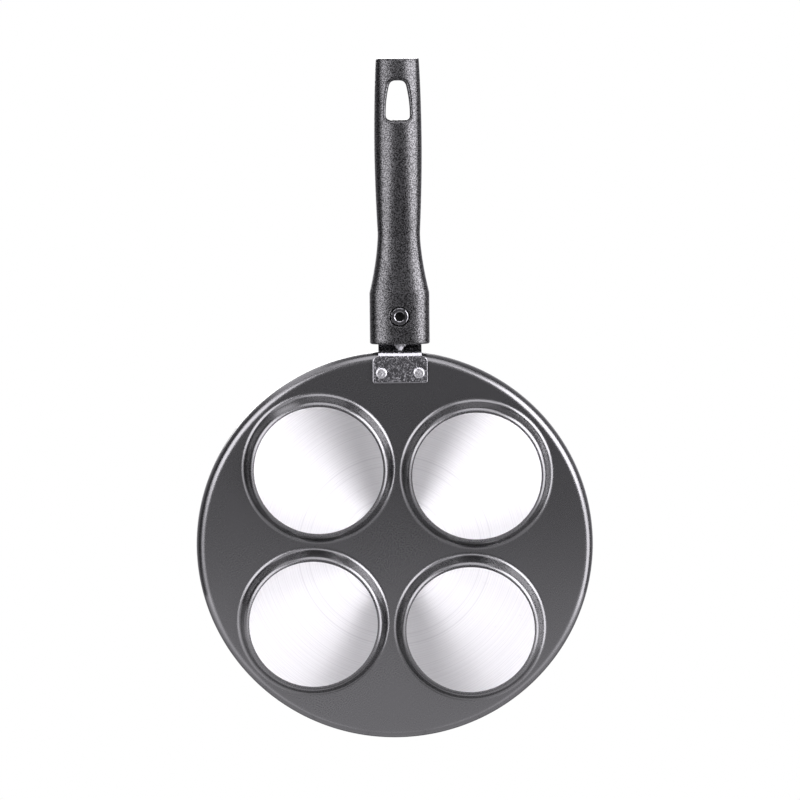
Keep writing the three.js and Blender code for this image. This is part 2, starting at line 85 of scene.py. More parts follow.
# Bracket and rivets
BRACKET_SHEET = 2
BRACKET_BEND = 3
TANG_BEND = 1
BRACKET_EDGE = 0.25
BRACKET_EDGE_ANGLE = math.radians(60)
COINED_WIDTH = 0.5
COINED_DROP = 0.18
NECK_WIDTH = 28
NECK_FILLET = 0.75
SHOULDER_WIDTH = 3.75
SHOULDER_FROM_RIVET = 10.4
PLATE_CORNER = 3
PLATE_END_CORNER = 1.4
RISER_LEAN = math.radians(20)
RISER_GAP = 0.3
TANG_RISE = 0.1
TANG_PAST_SCREW = 22.4
TANG_CORNER = 5
DART_WIDTH = 7.5
DART_ON_RISER = 8.6
DART_ON_TANG = 6
RIVET_FROM_RIM = 2.25
RIVET_FROM_EDGE = 6.8
RIVET_FROM_SIDE = 5.55
RIVET_SHANK = 2.2
RIVET_TAIL_LEDGE = 1.4
RIVET_TAIL_HEIGHT = 1.8
RIVET_TAIL_EDGE = 0.9
RIVET_TAIL_DISH = 0.3
RIVET_HEAD_LEDGE = 2.8
RIVET_HEAD_HEIGHT = 2

# Handle and hanging hole
HANDLE_OFFSET = 4.5
HANDLE_PITCH = math.radians(7)
HANDLE_CLEAR = 0.2
COLLAR_SQUARENESS = 2.7
GRIP_SQUARENESS = 2.15
COLLAR_EDGE = 1.2
COLLAR_LENGTH = 33.2
COLLAR_WALL = 5.15
COLLAR_ROOF = 4.1
FLARE_LENGTH = 38.8
FLARE_POWER = 1.65
WAIST_WIDTH = 27.5
WAIST_BELOW = 8.5
WAIST_ABOVE = 8
BELLY_LENGTH = 57
BELLY_POWER = 1.8
GRIP_WIDTH = 30.8
GRIP_BELOW = 9.5
GRIP_ABOVE = 9
TAPER_LENGTH = 57
TAPER_POWER = 2
TIP_WIDTH = 27.9
TIP_BELOW = 7
TIP_ABOVE = 6.5
TIP_EDGE = 0.7
TIP_CROWN = 0.5
TIP_RAKE = 1.4
TIP_RAKE_LENGTH = 12
HOLE_FROM_TIP = 15.5
HOLE_LENGTH = 25.4
HOLE_WIDTH_TIP = 9.6
HOLE_WIDTH_PAN = 15.6
HOLE_CORNER = 3.5
HOLE_FILLET = 2.4
HOLE_SURROUND = 7

# Screw, washer and nut
SCREW_AT = 18
SCREW_SHANK = 3
SCREW_HEAD = 5.9
SCREW_HEAD_HEIGHT = 5
SCREW_HEAD_EDGE = 0.72
SCREW_HEAD_CHAMFER = 0.32
SCREW_HEAD_ROUND = 0.2
SCREW_RECESS = 0.7
SEAT_FLOOR = 2.5
SOCKET_SIDES = 6
SOCKET_MOUTH = 3.5
SOCKET_ROUND = 3.1
SOCKET_CHAMFER = 0.3
SOCKET_CORNER = 2.9
SOCKET_DEPTH = 3
WASHER_RADIUS = 6.1
WASHER_THICK = 1.3
WASHER_SPLIT = 1.2
WASHER_SPLIT_AT = math.radians(45)
WASHER_EDGE = 0.25
WASHER_SPREAD = 0.35
COUNTERBORE_CLEAR = 0.5
COUNTERBORE_FLARE = 0.6
COUNTERBORE_FLARE_FROM = 0.75
COUNTERBORE_FLARE_TO = 0.25
NUT_WALL = 1.7
NUT_THICK = 5
FIT_GAP = 0.3
CONTACT_GAP = 0.1

# Fineness of the meshes; a margin is a narrow flat band beside a bend, which keeps its shading clean
RIM_SEGMENTS = 320
CUP_SEGMENTS = 176
SMALL_SEGMENTS = 48
BEND_STEPS = 10
SMALL_STEPS = 5
EDGE_STEPS = 3
HANDLE_COLUMNS = 60
HOLE_SIDE_COLUMNS = 12
HANDLE_STEP = 1.6
BRACKET_COLUMNS = 56
BRACKET_STEP = 0.35
DECK_MARGIN = 0.1
FLAT_MARGIN = 0.4
WELD = 0.002
CHART_WELD = 1e-6

# Camera fitted to the rim and the discs: angles in degrees, and distances in millimetres from the pan's axis
CAMERA_TILT = 10.919
CAMERA_SWING = -0.197
CAMERA_ROLL = -0.553
CAMERA_PLACE = (-3.323, 98.30, 2600)
CAMERA_LENS = 179.32
CAMERA_SENSOR = 36
CAMERA_CLIP = 100

# Floor and room: distances in metres, heights as the Z of a unit vector, and levels of light where 1 is white
FLOOR_HALF = 6
FLOOR_DROP = 0.0006
FLOOR_FADE_FROM = 0.25
FLOOR_FADE_TO = 0.9
FLOOR_GLOW = 0.45
ROOM_BELOW = 0.015
ROOM_UNDERFOOT = 0.12
ROOM_UNDERFOOT_TOP = -0.86
ROOM_WALL = 0.33
ROOM_WALL_TOP = 0.35
ROOM_CEILING = 0.65
ROOM_CEILING_FROM = 0.80
ROOM_CEILING_TO = 0.97
ROOM_DULL_SHARE = 0.5

# Soft boxes below the pan, in degrees: azimuth turns from +X towards the handle, off_axis leans away from
# straight down, and the lamp spans an angle around the pan's axis and a depth away from it
LAMP_DISTANCE = 1.6
LIGHT_TINT = (1.015, 0.99, 1.055)
SOFT_BOXES = {
    "right_key": {"azimuth": 28, "off_axis": 56, "span": 48, "depth": 44, "radiance": 6.4},
    "left_key": {"azimuth": 156, "off_axis": 42, "span": 46, "depth": 40, "radiance": 4.4},
    "right_side": {"azimuth": -14, "off_axis": 60, "span": 36, "depth": 36, "radiance": 3.6},
    "left_side": {"azimuth": 197, "off_axis": 40, "span": 36, "depth": 34, "radiance": 1.3},
    "front": {"azimuth": 86, "off_axis": 60, "span": 46, "depth": 44, "radiance": 2.2},
    "left_front": {"azimuth": 124, "off_axis": 88, "span": 22, "depth": 66, "radiance": 1.3},
}

# Other lamps, in metres: a pale table past the pan's far edge, strips along that edge and a lamp above
TABLE_GAP = 0.03
TABLE_MIDDLE = -0.305
TABLE_SIZE = (1.0, 0.52)
TABLE_RADIANCE = 0.58
STRIP_COUNT = 9
STRIP_SPREAD = math.radians(150)
STRIP_GAP = 0.006
STRIP_HEIGHT = 0.024
STRIP_RADIANCE = 0.65
TOP_LAMP_PLACE = (-0.6, -0.9, 2.2)
TOP_LAMP_SIZE = (1.6, 1.6)
TOP_LAMP_RADIANCE = 4.4
TOP_LAMP_TINT = (1, 1, 1)

# Places on the pan
rivet_tail = RIVET_SHANK + RIVET_TAIL_LEDGE
rivet_head = RIVET_SHANK + RIVET_HEAD_LEDGE
rivet_hole = RIVET_SHANK + FIT_GAP
deck_under = CUP_DEPTH
deck_top = CUP_DEPTH + SHEET
cup_turn = RIGHT_ANGLE - CUP_DRAFT
foot_bend = CUP_FOOT_BEND + SHEET
wall_low = foot_bend * (1 - math.cos(cup_turn))
wall_high = deck_under - CUP_MOUTH_BEND * (1 - math.cos(cup_turn))
cup_mouth = (DISC_RADIUS + (foot_bend + CUP_MOUTH_BEND) * math.sin(cup_turn)
             + (wall_high - wall_low) * math.tan(CUP_DRAFT))
cup_circle = (cup_mouth + CUP_GAP / 2) / math.sin(math.pi / CUP_COUNT)
rim_bend = RIM_BEND + SHEET
rim_bend_radius = cup_circle + cup_mouth + RIM_GAP
rim_bend_height = deck_under + rim_bend
rim_turn = RIGHT_ANGLE - RIM_FLARE
pan_height = rim_bend_height - rim_bend * math.sin(RIM_FLARE) + RIM_WALL
rim_radius = rim_bend_radius + rim_bend * math.cos(RIM_FLARE) + RIM_WALL * math.tan(RIM_FLARE)
lip_radius = (SHEET - RIM_FLAT) / 2
rivet_place = rim_bend_radius - RIVET_FROM_RIM - rivet_head
plate_half = NECK_WIDTH / 2 + SHOULDER_WIDTH
rivet_offset = plate_half - RIVET_FROM_SIDE

# Places on the bracket
plate_middle = deck_under - CONTACT_GAP - BRACKET_SHEET / 2
plate_under = plate_middle - BRACKET_SHEET / 2
plate_edge = rivet_place - RIVET_FROM_EDGE
shoulder = rivet_place + SHOULDER_FROM_RIVET
bend_radii = [bend + BRACKET_SHEET / 2 for bend in (BRACKET_BEND, TANG_BEND)]
riser_angle = RIGHT_ANGLE - RIM_FLARE - RISER_LEAN
riser_reach = rim_bend + RISER_GAP + BRACKET_SHEET / 2
tang_height = pan_height + TANG_RISE
tang_turn = riser_angle - HANDLE_PITCH
handle_gap = bend_radii[1] * math.tan(tang_turn / 2) + HANDLE_CLEAR
tang_length = handle_gap + SCREW_AT + TANG_PAST_SCREW

# Heights of the screw's stack above and below the middle of the tang
slot_half = BRACKET_SHEET / 2 + FIT_GAP
screw_bore = SCREW_SHANK + FIT_GAP
screw_seat = -slot_half - SEAT_FLOOR
washer_under = screw_seat - CONTACT_GAP - WASHER_THICK
head_seat = washer_under - CONTACT_GAP
head_under = head_seat - SCREW_HEAD_HEIGHT
counterbore = WASHER_RADIUS + COUNTERBORE_CLEAR
nut_half = screw_bore + NUT_WALL
nut_top = BRACKET_SHEET / 2 + CONTACT_GAP + NUT_THICK

# Handle sizes that follow from what the collar holds
collar_width = NECK_WIDTH + 2 * FIT_GAP + 2 * COLLAR_WALL
collar_below = SCREW_RECESS - head_under
collar_above = nut_top + FIT_GAP + COLLAR_ROOF
waist_at = COLLAR_LENGTH + FLARE_LENGTH
grip_at = waist_at + BELLY_LENGTH
handle_length = grip_at + TAPER_LENGTH


def riser_at(height):
    """Distance of the riser's middle line from the pan's axis at a height."""
    above = height - rim_bend_height
    return rim_bend_radius + (riser_reach + above * math.cos(riser_angle)) / math.sin(riser_angle)


def tang_point(distance):
    """Point on the tang's middle line, as outward and up, at a distance from the second bend."""
    outward = riser_at(tang_height) + distance * math.cos(HANDLE_PITCH)
    return Vector((outward, tang_height + distance * math.sin(HANDLE_PITCH)))


# The pan's axis in the frame, and the matrices from each piece's own millimetres to frame metres
pan_low, pan_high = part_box("pan_body")
PAN_AXIS = Vector(((pan_low.x + pan_high.x) / 2, (pan_low.y + pan_high.y) / 2, pan_low.z))
PAN_PLACE = Matrix.Translation(PAN_AXIS) @ Matrix.Scale(MM, 4)
BRACKET_PLACE = PAN_PLACE @ Matrix.Translation((HANDLE_OFFSET, 0, 0))
handle_start = tang_point(handle_gap)
HANDLE_PLACE = (BRACKET_PLACE @ Matrix.Translation((0, -handle_start.x, handle_start.y))
                @ Matrix.Rotation(-HANDLE_PITCH, 4, "X"))
SCREW_PLACE = HANDLE_PLACE @ Matrix.Translation((0, -SCREW_AT, 0))


class Wire:
    """A node's output. Arithmetic on it adds Math nodes to the same tree."""

    def __init__(self, graph, socket):
        self.graph = graph
        self.socket = socket

    def also(self, name):
        """Another output of the same node."""
        return Wire(self.graph, self.socket.node.outputs[name])

    def __add__(self, other):
        return self.graph.math("ADD", self, other)

    def __sub__(self, other):
        return self.graph.math("SUBTRACT", self, other)

    def __rsub__(self, other):
        return self.graph.math("SUBTRACT", other, self)

    def __mul__(self, other):
        return self.graph.math("MULTIPLY", self, other)

    def __truediv__(self, other):
        return self.graph.math("DIVIDE", self, other)

    def __rtruediv__(self, other):
        return self.graph.math("DIVIDE", other, self)

    __radd__ = __add__
    __rmul__ = __mul__


class Graph:
    """A node tree that is being built."""

    def __init__(self, tree):
        self.tree = tree

    def node(self, kind, settings=None, sockets=None, output=0):
        """Adds a node: its settings first, then the values or links of its sockets."""
        made = self.tree.nodes.new(kind)
        for name, value in (settings or {}).items():
            setattr(made, name, value)
        for name, value in (sockets or {}).items():
            for item in value if isinstance(value, list) else [value]:
                if isinstance(item, Wire):
                    self.tree.links.new(item.socket, made.inputs[name])
                else:
                    made.inputs[name].default_value = item
        return Wire(self, made.outputs[output]) if made.outputs else None

    def math(self, operation, *values):
        return self.node("ShaderNodeMath", {"operation": operation}, dict(enumerate(values)))

    def vector(self, x=0, y=0, z=0):
        return self.node("ShaderNodeCombineXYZ", {}, {"X": x, "Y": y, "Z": z})

    def xyz(self, vector):
        split = self.node("ShaderNodeSeparateXYZ", {}, {"Vector": vector})
        return [split.also(name) for name in "XYZ"]

    def inputs(self, kinds):
        """Gives the tree its named inputs and returns their wires by name."""
        for name, kind in kinds.items():
            self.tree.interface.new_socket(name, in_out="INPUT", socket_type="NodeSocket" + kind)
        entry = self.tree.nodes.new("NodeGroupInput")
        return {name: Wire(self, entry.outputs[name]) for name in kinds}

    def joined(self, parts):
        return self.node("GeometryNodeJoinGeometry", {}, {"Geometry": parts})

    def end(self, parts):
        """Ends the tree with its parts joined."""
        self.tree.interface.new_socket("Geometry", in_out="OUTPUT", socket_type="NodeSocketGeometry")
        self.node("NodeGroupOutput", {}, {"Geometry": self.joined(parts)})

    def place(self, centre=(0, 0, 0), stretch=(1, 1, 1), turn=(0, 0, 0)):
        """Object coordinates about a centre, stretched along the axes and turned."""
        sockets = {
            "Vector": self.node("ShaderNodeTexCoord", output="Object"),
            "Location": tuple(-c * s for c, s in zip(centre, stretch)),
            "Rotation": turn,
            "Scale": stretch,
        }
        return self.node("ShaderNodeMapping", {}, sockets)

    def from_axis(self, place):
        """Distance of a place from the Z axis."""
        x, y, _ = self.xyz(place)
        return self.math("SQRT", x * x + y * y)

    def noise(self, vector, size, detail=2.0, roughness=0.5):
        """Noise from 0 to 1 whose blotches are about a size in millimetres across."""
        sockets = {"Vector": vector, "Scale": 1 / (size * MM), "Detail": detail, "Roughness": roughness}
        return self.node("ShaderNodeTexNoise", {}, sockets)

    def ring_noise(self, radius, size):
        """Noise from 0 to 1 that changes with a radius only, in rings about a size in millimetres wide."""
        sockets = {"W": radius, "Scale": 1 / (size * MM), "Detail": 2.0}
        return self.node("ShaderNodeTexNoise", {"noise_dimensions": "1D"}, sockets)

    def remap(self, value, low, high, to_low=0.0, to_high=1.0):
        """Eases a value from one range to another."""
        sockets = {"Value": value, "From Min": low, "From Max": high, "To Min": to_low, "To Max": to_high}
        return self.node("ShaderNodeMapRange", {"interpolation_type": "SMOOTHSTEP"}, sockets)

    def blend(self, share, first, second):
        """Mixes two colours by a share from 0 to 1; the node has its colour sockets after the others."""
        first_colour, second_colour, result_colour = 6, 7, 2
        sockets = {"Factor": share, first_colour: first, second_colour: second}
        return self.node("ShaderNodeMix", {"data_type": "RGBA"}, sockets, output=result_colour)

    def bump(self, height, depth):
        """A normal bent by a height from 0 to 1 that stands for a depth in millimetres."""
        return self.node("ShaderNodeBump", {}, {"Height": height, "Distance": depth * MM, "Strength": 1.0})


def empty_graph(owner):
    """The node tree of a material or a world, emptied."""
    owner.use_nodes = True
    owner.node_tree.nodes.clear()
    return Graph(owner.node_tree)


def grey(level, blue=1.0):
    """A grey whose blue is stronger by a factor."""
    return (level, level, level * blue, 1)


def satin_coat(graph):
    """Sprayed dark grey non-stick coat: a fine grain, faint clouds and a satin sheen."""
    place = graph.place()
    grain = graph.noise(place, size=0.6, detail=3)
    cloud = graph.noise(place, size=40)
    dark = grey(0.003, blue=1.08)
    pale = grey(0.009, blue=1.08)
    return {
        "Base Color": graph.blend(grain * 0.7 + cloud * 0.3, dark, pale),
        "Roughness": 0.25 + 0.03 * grain + 0.02 * cloud,
        "Normal": graph.bump(grain, depth=0.0025),
    }


def cooking_coat(graph):
    """Non-stick coat of the cooking side: darker and smoother, with small pale flecks."""
    place = graph.place()
    grain = graph.noise(place, size=0.5, detail=3)
    fleck = graph.remap(graph.noise(place, size=1.6, detail=1), low=0.66, high=0.74)
    coat = graph.blend(grain, grey(0.018, blue=1.05), grey(0.034, blue=1.05))
    pale = grey(0.12, blue=1.02)
    return {
        "Base Color": graph.blend(fleck * 0.5, coat, pale),
        "Roughness": 0.26 + 0.16 * grain,
        "Normal": graph.bump(grain, depth=0.010),
    }


def turned_aluminium(graph):
    """Bare aluminium faced on a lathe: fine irregular grooves about the pan's axis, with a few scuffs."""
    place = graph.place(PAN_AXIS)
    radius = graph.from_axis(place)
    groove = graph.ring_noise(radius, size=0.12)
    line = graph.remap(graph.ring_noise(radius, size=0.65), low=0.36, high=0.56)
    cut_line = graph.remap(graph.ring_noise(radius, size=2.3), low=0.68, high=0.76)
    scuff = graph.remap(graph.noise(place, size=7, detail=4, roughness=0.7), low=0.62, high=0.78)
    bright = graph.blend(line, grey(0.90, blue=0.99), grey(0.99, blue=0.99))
    dull = grey(0.60, blue=1.02)
    return {
        "Base Color": graph.blend(cut_line * 0.3 + scuff * 0.2, bright, dull),
        "Roughness": 0.36 + 0.02 * line + 0.03 * scuff,
        "Normal": graph.bump(groove, depth=0.03),
    }


def scratched_steel(graph):
    """Bright steel sheet with short scratches, pressing marks and dull spots."""
    streak = graph.noise(graph.place(stretch=(1, 0.18, 1)), size=0.7, detail=3, roughness=0.65)
    blotch = graph.noise(graph.place(), size=0.9, detail=4, roughness=0.7)
    fleck = graph.remap(blotch, low=0.48, high=0.66)
    mark = graph.remap(streak, low=0.54, high=0.66)
    dull = grey(0.40, blue=1.04)
    bright = grey(0.98, blue=1.02)
    return {
        "Base Color": graph.blend(fleck * 0.7 + mark * 0.3, dull, bright),
        "Roughness": 0.16 + 0.22 * fleck + 0.12 * mark,
        "Normal": graph.bump(streak * 0.5 + blotch * 0.5, depth=0.03),
    }


def pressed_steel(graph):
    """Steel roughened by the punch that pressed the dart."""
    scrape = graph.noise(graph.place(stretch=(1, 0.3, 0.3)), size=0.6, detail=3)
    worn = graph.remap(scrape, low=0.40, high=0.62)
    return {
        "Base Color": graph.blend(worn, grey(0.75, blue=1.02), grey(0.98, blue=1.02)),
        "Roughness": 0.50 + 0.16 * scrape,
        "Normal": graph.bump(scrape, depth=0.10),
    }


def coined_steel_painted_shade(graph):
    """Border of the plate, smoothed by the press; its darker colour is painted shade, the dark line just
    inside the plate's bright edge.
    """
    wear = graph.noise(graph.place(), size=2.5, detail=3)
    return {
        "Base Color": graph.blend(wear, grey(0.22, blue=1.02), grey(0.44, blue=1.02)),
        "Roughness": 0.20 + 0.16 * wear,
        "Normal": graph.bump(wear, depth=0.03),
    }


def hammered_aluminium(graph):
    """Soft aluminium with the mottled face that a forming punch leaves."""
    dent = graph.noise(graph.place(), size=1.0, detail=3)
    face = graph.remap(dent, low=0.40, high=0.62)
    return {
        "Base Color": graph.blend(face, grey(0.72, blue=1.01), grey(0.97, blue=1.01)),
        "Roughness": 0.20 + 0.2 * dent,
        "Normal": graph.bump(dent, depth=0.22),
    }


def grained_moulding(graph):
    """Dark heatproof moulding with a spark-eroded grain and a slightly worn shine on its high spots."""
    # The turn keeps the noise's own grid from showing as a line along the handle
    height = graph.noise(graph.place(turn=(0.6, 0.5, 0.4)), size=0.7, detail=0)
    fleck = graph.remap(height, low=0.42, high=0.60)
    return {
        "Base Color": graph.blend(fleck, grey(0.0005, blue=1.05), grey(0.018, blue=1.05)),
        "Roughness": 0.27 + 0.04 * fleck,
        "Coat Weight": fleck,
        "Normal": graph.bump(height, depth=0.12),
    }


def zinc_steel(graph):
    """Zinc plated steel with a faint cloudy sheen."""
    cloud = graph.noise(graph.place(), size=2.2, detail=3)
    return {
        "Base Color": graph.blend(cloud, grey(0.26, blue=1.03), grey(0.42, blue=1.03)),
        "Roughness": 0.10 + 0.10 * cloud,
        "Normal": graph.bump(cloud, depth=0.02),
    }


def socket_shade(graph):
    """Painted shade: a near-black colour inside the screw's socket, where shade falls."""
    cloud = graph.noise(graph.place(), size=1.0)
    return {
        "Base Color": graph.blend(cloud, grey(0.002), grey(0.006)),
        "Roughness": 0.5 + 0.2 * cloud,
    }


def finished_material(finish, constants):
    """A material whose varying sockets come from a finish, with the constant sockets set directly."""
    material = bpy.data.materials.new(finish.__name__)
    graph = empty_graph(material)
    surface = graph.node("ShaderNodeBsdfPrincipled", {}, {**constants, **finish(graph)})
    graph.node("ShaderNodeOutputMaterial", {}, {"Surface": surface})
    return material


METAL = {"Metallic": 1}
COAT = finished_material(satin_coat, {"Specular IOR Level": 1, "IOR": 1.9})
COOKING_COAT = finished_material(cooking_coat, {})
TURNED = finished_material(turned_aluminium, {**METAL, "Anisotropic": 1, "Anisotropic Rotation": 0.25})
STEEL = finished_material(scratched_steel, METAL)
PRESSED_STEEL = finished_material(pressed_steel, METAL)
COINED_STEEL_PAINTED_SHADE = finished_material(coined_steel_painted_shade, METAL)
HAMMERED = finished_material(hammered_aluminium, METAL)
MOULDING = finished_material(grained_moulding, {"Coat IOR": 1.8, "Coat Roughness": 0.29})
ZINC = finished_material(zinc_steel, METAL)
SOCKET_SHADE = finished_material(socket_shade, {"Specular IOR Level": 0.1})


def mesh_object(name, points, faces, place=Matrix.Identity(4), edges=()):
    """An object whose mesh holds points put in their place."""
    mesh = bpy.data.meshes.new(name)
    mesh.from_pydata([place @ Vector(point) for point in points], list(edges), list(faces))
    made = bpy.data.objects.new(name, mesh)
    bpy.context.scene.collection.objects.link(made)
    return made


def settle(made):
    """Turns an object's evaluated result into its own plain mesh."""
    evaluated = made.evaluated_get(bpy.context.evaluated_depsgraph_get())
    made.data = bpy.data.meshes.new_from_object(evaluated)
    made.modifiers.clear()


def tidy_mesh(made, sharp=35):
    """Welds a closed mesh, turns its faces outwards and smooths edges below a sharp angle in degrees."""
    work = bmesh.new()
    work.from_mesh(made.data)
    bmesh.ops.delete(work, geom=[v for v in work.verts if not v.link_faces], context="VERTS")
    bmesh.ops.remove_doubles(work, verts=work.verts, dist=WELD * MM)
    bmesh.ops.recalc_face_normals(work, faces=work.faces)
    for face in work.faces:
        face.smooth = True
    work.to_mesh(made.data)
    work.free()
    made.data.set_sharp_from_angle(angle=math.radians(sharp))


def finish_piece(made, slot, *nodes):
    """Hands a finished piece over: it rides on the one body and stands for its nodes of the frame."""
    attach(made, "root")
    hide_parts(*nodes)


def arc(centre, radius, start, end, steps=BEND_STEPS):
    """Points of a turned profile on an arc; angle 0 points down and grows outwards."""
    angles = [start + (end - start) * k / steps for k in range(steps + 1)]
    return [(centre[0] + radius * math.sin(a), centre[1] - radius * math.cos(a)) for a in angles]


def profile_object(name, points):
    """A polyline of radius and height points that a node tree turns about Z."""
    places = [(radius * MM, 0, height * MM) for radius, height in points]
    return mesh_object(name, places, [], edges=[(k, k + 1) for k in range(len(points) - 1)])


def drop_profiles():
    """Removes the profiles once they have been turned."""
    for made in list(bpy.data.objects):
        if made.type == "MESH" and made.data.edges and not made.data.polygons:
            bpy.data.objects.remove(made)


def turning_group():
    """Node group that turns a profile about Z into a band of faces."""
    graph = Graph(bpy.data.node_groups.new("turn_profile", "GeometryNodeTree"))
    given = graph.inputs({"Profile": "Object", "Segments": "Int"})
    profile = graph.node("GeometryNodeObjectInfo", {}, {"Object": given["Profile"]}, output="Geometry")
    count = graph.node("GeometryNodeAttributeDomainSize", {}, {"Geometry": profile}, output="Point Count")
    columns = given["Segments"] + 1
    grid = graph.node("GeometryNodeMeshGrid", {}, {"Vertices X": count, "Vertices Y": columns})
    index = graph.node("GeometryNodeInputIndex")
    row = graph.math("FLOOR", (index + 0.5) / columns)
    turn = (index - row * columns) * FULL_TURN / given["Segments"]
    position = graph.node("GeometryNodeInputPosition")
    sample = graph.node("GeometryNodeSampleIndex", {"data_type": "FLOAT_VECTOR"},
                        {"Geometry": profile, "Value": position, "Index": row})
    radius, _, height = graph.xyz(sample)
    point = graph.vector(radius * graph.math("COSINE", turn), radius * graph.math("SINE", turn), height)
    graph.end([graph.node("GeometryNodeSetPosition", {}, {"Geometry": grid, "Position": point})])
    return graph.tree


TURNING = turning_group()


def turned(graph, name, points, segments):
    """A band turned from a profile, inside a node tree."""
    sockets = {"Profile": profile_object(name, points), "Segments": segments}
    return graph.node("GeometryNodeGroup", {"node_tree": TURNING}, sockets)


def spread(graph, points, shape):
    """A shape on each of some points, inside a node tree."""
    return graph.node("GeometryNodeInstanceOnPoints", {}, {"Points": points, "Instance": shape})


def finished(graph, parts, material):
    """Parts of one material put in the pan's place, made real and given the material, inside a node tree."""
    sockets = {"Geometry": graph.joined(parts), "Translation": PAN_AXIS}
    placed = graph.node("GeometryNodeTransform", {}, sockets)
    real = graph.node("GeometryNodeRealizeInstances", {}, {"Geometry": placed})
    return graph.node("GeometryNodeSetMaterial", {}, {"Geometry": real, "Material": material})


def sized_tree(name, sizes):
    """A new node tree with an input for each size, and the wires of these inputs."""
    graph = Graph(bpy.data.node_groups.new(name, "GeometryNodeTree"))
    return graph, graph.inputs({"Geometry": "Geometry", **dict.fromkeys(sizes, "Float")})


def grown_from(tree, name, sizes):
    """A plain mesh object made by a node tree with the given sizes."""
    made = mesh_object(name, [], [])
    modifier = made.modifiers.new(name, "NODES")
    modifier.node_group = tree
    for item in tree.interface.items_tree:
        if item.in_out == "INPUT" and item.name in sizes:
            modifier[item.identifier] = sizes[item.name]
    settle(made)
    return made


def cup_profile(inset):
    """One cup from its foot to the deck: inset 0 is the outside and SHEET the cooking side."""
    foot = arc((DISC_RADIUS, foot_bend), foot_bend - inset, 0, cup_turn)
    mouth_centre = (cup_mouth, deck_under - CUP_MOUTH_BEND)
    mouth = arc(mouth_centre, CUP_MOUTH_BEND + inset, cup_turn - math.pi, -math.pi)
    return foot + mouth + [(cup_mouth + DECK_MARGIN, deck_under + inset)]


def disc_profile(height):
    """Flat face of a cup, below or above, with a narrow band at its edge."""
    return [(0, height), (DISC_RADIUS - FLAT_MARGIN, height), (DISC_RADIUS, height)]


def rim_profile(inset):
    """Rim from the deck to the crest of its lip, on the outside for inset 0 or the inside for SHEET."""
    bend = arc((rim_bend_radius, rim_bend_height), rim_bend - inset, 0, rim_turn)
    side = 1 if inset == 0 else -1
    lip_centre = (rim_radius - SHEET / 2 + side * RIM_FLAT / 2, pan_height - lip_radius)
    lip = arc(lip_centre, lip_radius, side * RIGHT_ANGLE, side * math.pi, SMALL_STEPS)
    crest = (rim_radius - SHEET / 2, pan_height)
    return [(rim_bend_radius - DECK_MARGIN, deck_under + inset)] + bend + lip + [crest]


RIVET_SIZES = {
    "Rivet Spacing": 2 * rivet_offset * MM,
    "Rivet Middle": HANDLE_OFFSET * MM,
    "Rivet Place": -rivet_place * MM,
}


def rivet_points(graph, given):
    """Points of the two rivets about the pan's axis, inside a node tree."""
    start = graph.vector(given["Rivet Middle"] - given["Rivet Spacing"] / 2, given["Rivet Place"])
    step = graph.vector(given["Rivet Spacing"])
    return graph.node("GeometryNodeMeshLine", {}, {"Count": 2, "Start Location": start, "Offset": step})


def cup_points(graph, given):
    """Middles of the cups about the pan's axis, inside a node tree."""
    sockets = {"Vertices": CUP_COUNT, "Radius": given["Cup Circle"]}
    ring = graph.node("GeometryNodeMeshCircle", {}, sockets)
    turn = graph.vector(z=given["Cup Angle"])
    return graph.node("GeometryNodeTransform", {}, {"Geometry": ring, "Rotation": turn})


def flat_deck(graph, given, cups_at, rivets_at):
    """The deck at height 0, filled between the rim, the cups' mouths and the rivets' holes."""
    def circle(radius, segments):
        return graph.node("GeometryNodeCurvePrimitiveCircle", {}, {"Resolution": segments, "Radius": radius})

    outlines = graph.joined([
        circle(given["Deck Radius"], RIM_SEGMENTS),
        spread(graph, cups_at, circle(given["Mouth Radius"], CUP_SEGMENTS)),
        spread(graph, rivets_at, circle(given["Hole Radius"], SMALL_SEGMENTS)),
    ])
    edges = graph.node("GeometryNodeRealizeInstances", {}, {"Geometry": outlines})
    return graph.node("GeometryNodeFillCurve", {}, {"Curve": edges})


def pressed_pan():
    """The pressed sheet: cups on a circle, a deck filled between them and a rim around it."""
    sizes = {
        "Cup Circle": cup_circle * MM,
        "Cup Angle": CUP_TURN + math.pi / CUP_COUNT,
        "Mouth Radius": (cup_mouth + DECK_MARGIN) * MM,
        "Deck Radius": (rim_bend_radius - DECK_MARGIN) * MM,
        "Deck Under": deck_under * MM,
        "Sheet": SHEET * MM,
        "Hole Radius": rivet_hole * MM,
        **RIVET_SIZES,
    }
    graph, given = sized_tree("pressed_pan", sizes)
    cups_at = cup_points(graph, given)
    rivets_at = rivet_points(graph, given)
    deck = flat_deck(graph, given, cups_at, rivets_at)

    def deck_at(height):
        lift = graph.vector(z=height)
        return graph.node("GeometryNodeTransform", {}, {"Geometry": deck, "Translation": lift})

    def on_cups(name, profile):
        return spread(graph, cups_at, turned(graph, name, profile, CUP_SEGMENTS))

    hole_wall = [(rivet_hole, deck_under), (rivet_hole, deck_top)]
    outer = [
        on_cups("cup_outside", cup_profile(0)),
        spread(graph, rivets_at, turned(graph, "rivet_hole", hole_wall, SMALL_SEGMENTS)),
        deck_at(given["Deck Under"]),
        turned(graph, "rim_outside", rim_profile(0), RIM_SEGMENTS),
    ]
    inner = [
        on_cups("cup_floor", disc_profile(SHEET)),
        on_cups("cup_inside", cup_profile(SHEET)),
        deck_at(given["Deck Under"] + given["Sheet"]),
        turned(graph, "rim_inside", rim_profile(SHEET), RIM_SEGMENTS),
    ]
    graph.end([
        finished(graph, [on_cups("disc", disc_profile(0))], TURNED),
        finished(graph, outer, COAT),
        finished(graph, inner, COOKING_COAT),
    ])
    piece = grown_from(graph.tree, "pan_sheet", sizes)
    tidy_mesh(piece, sharp=50)
    finish_piece(piece, "coated_sheet", "pan_body")


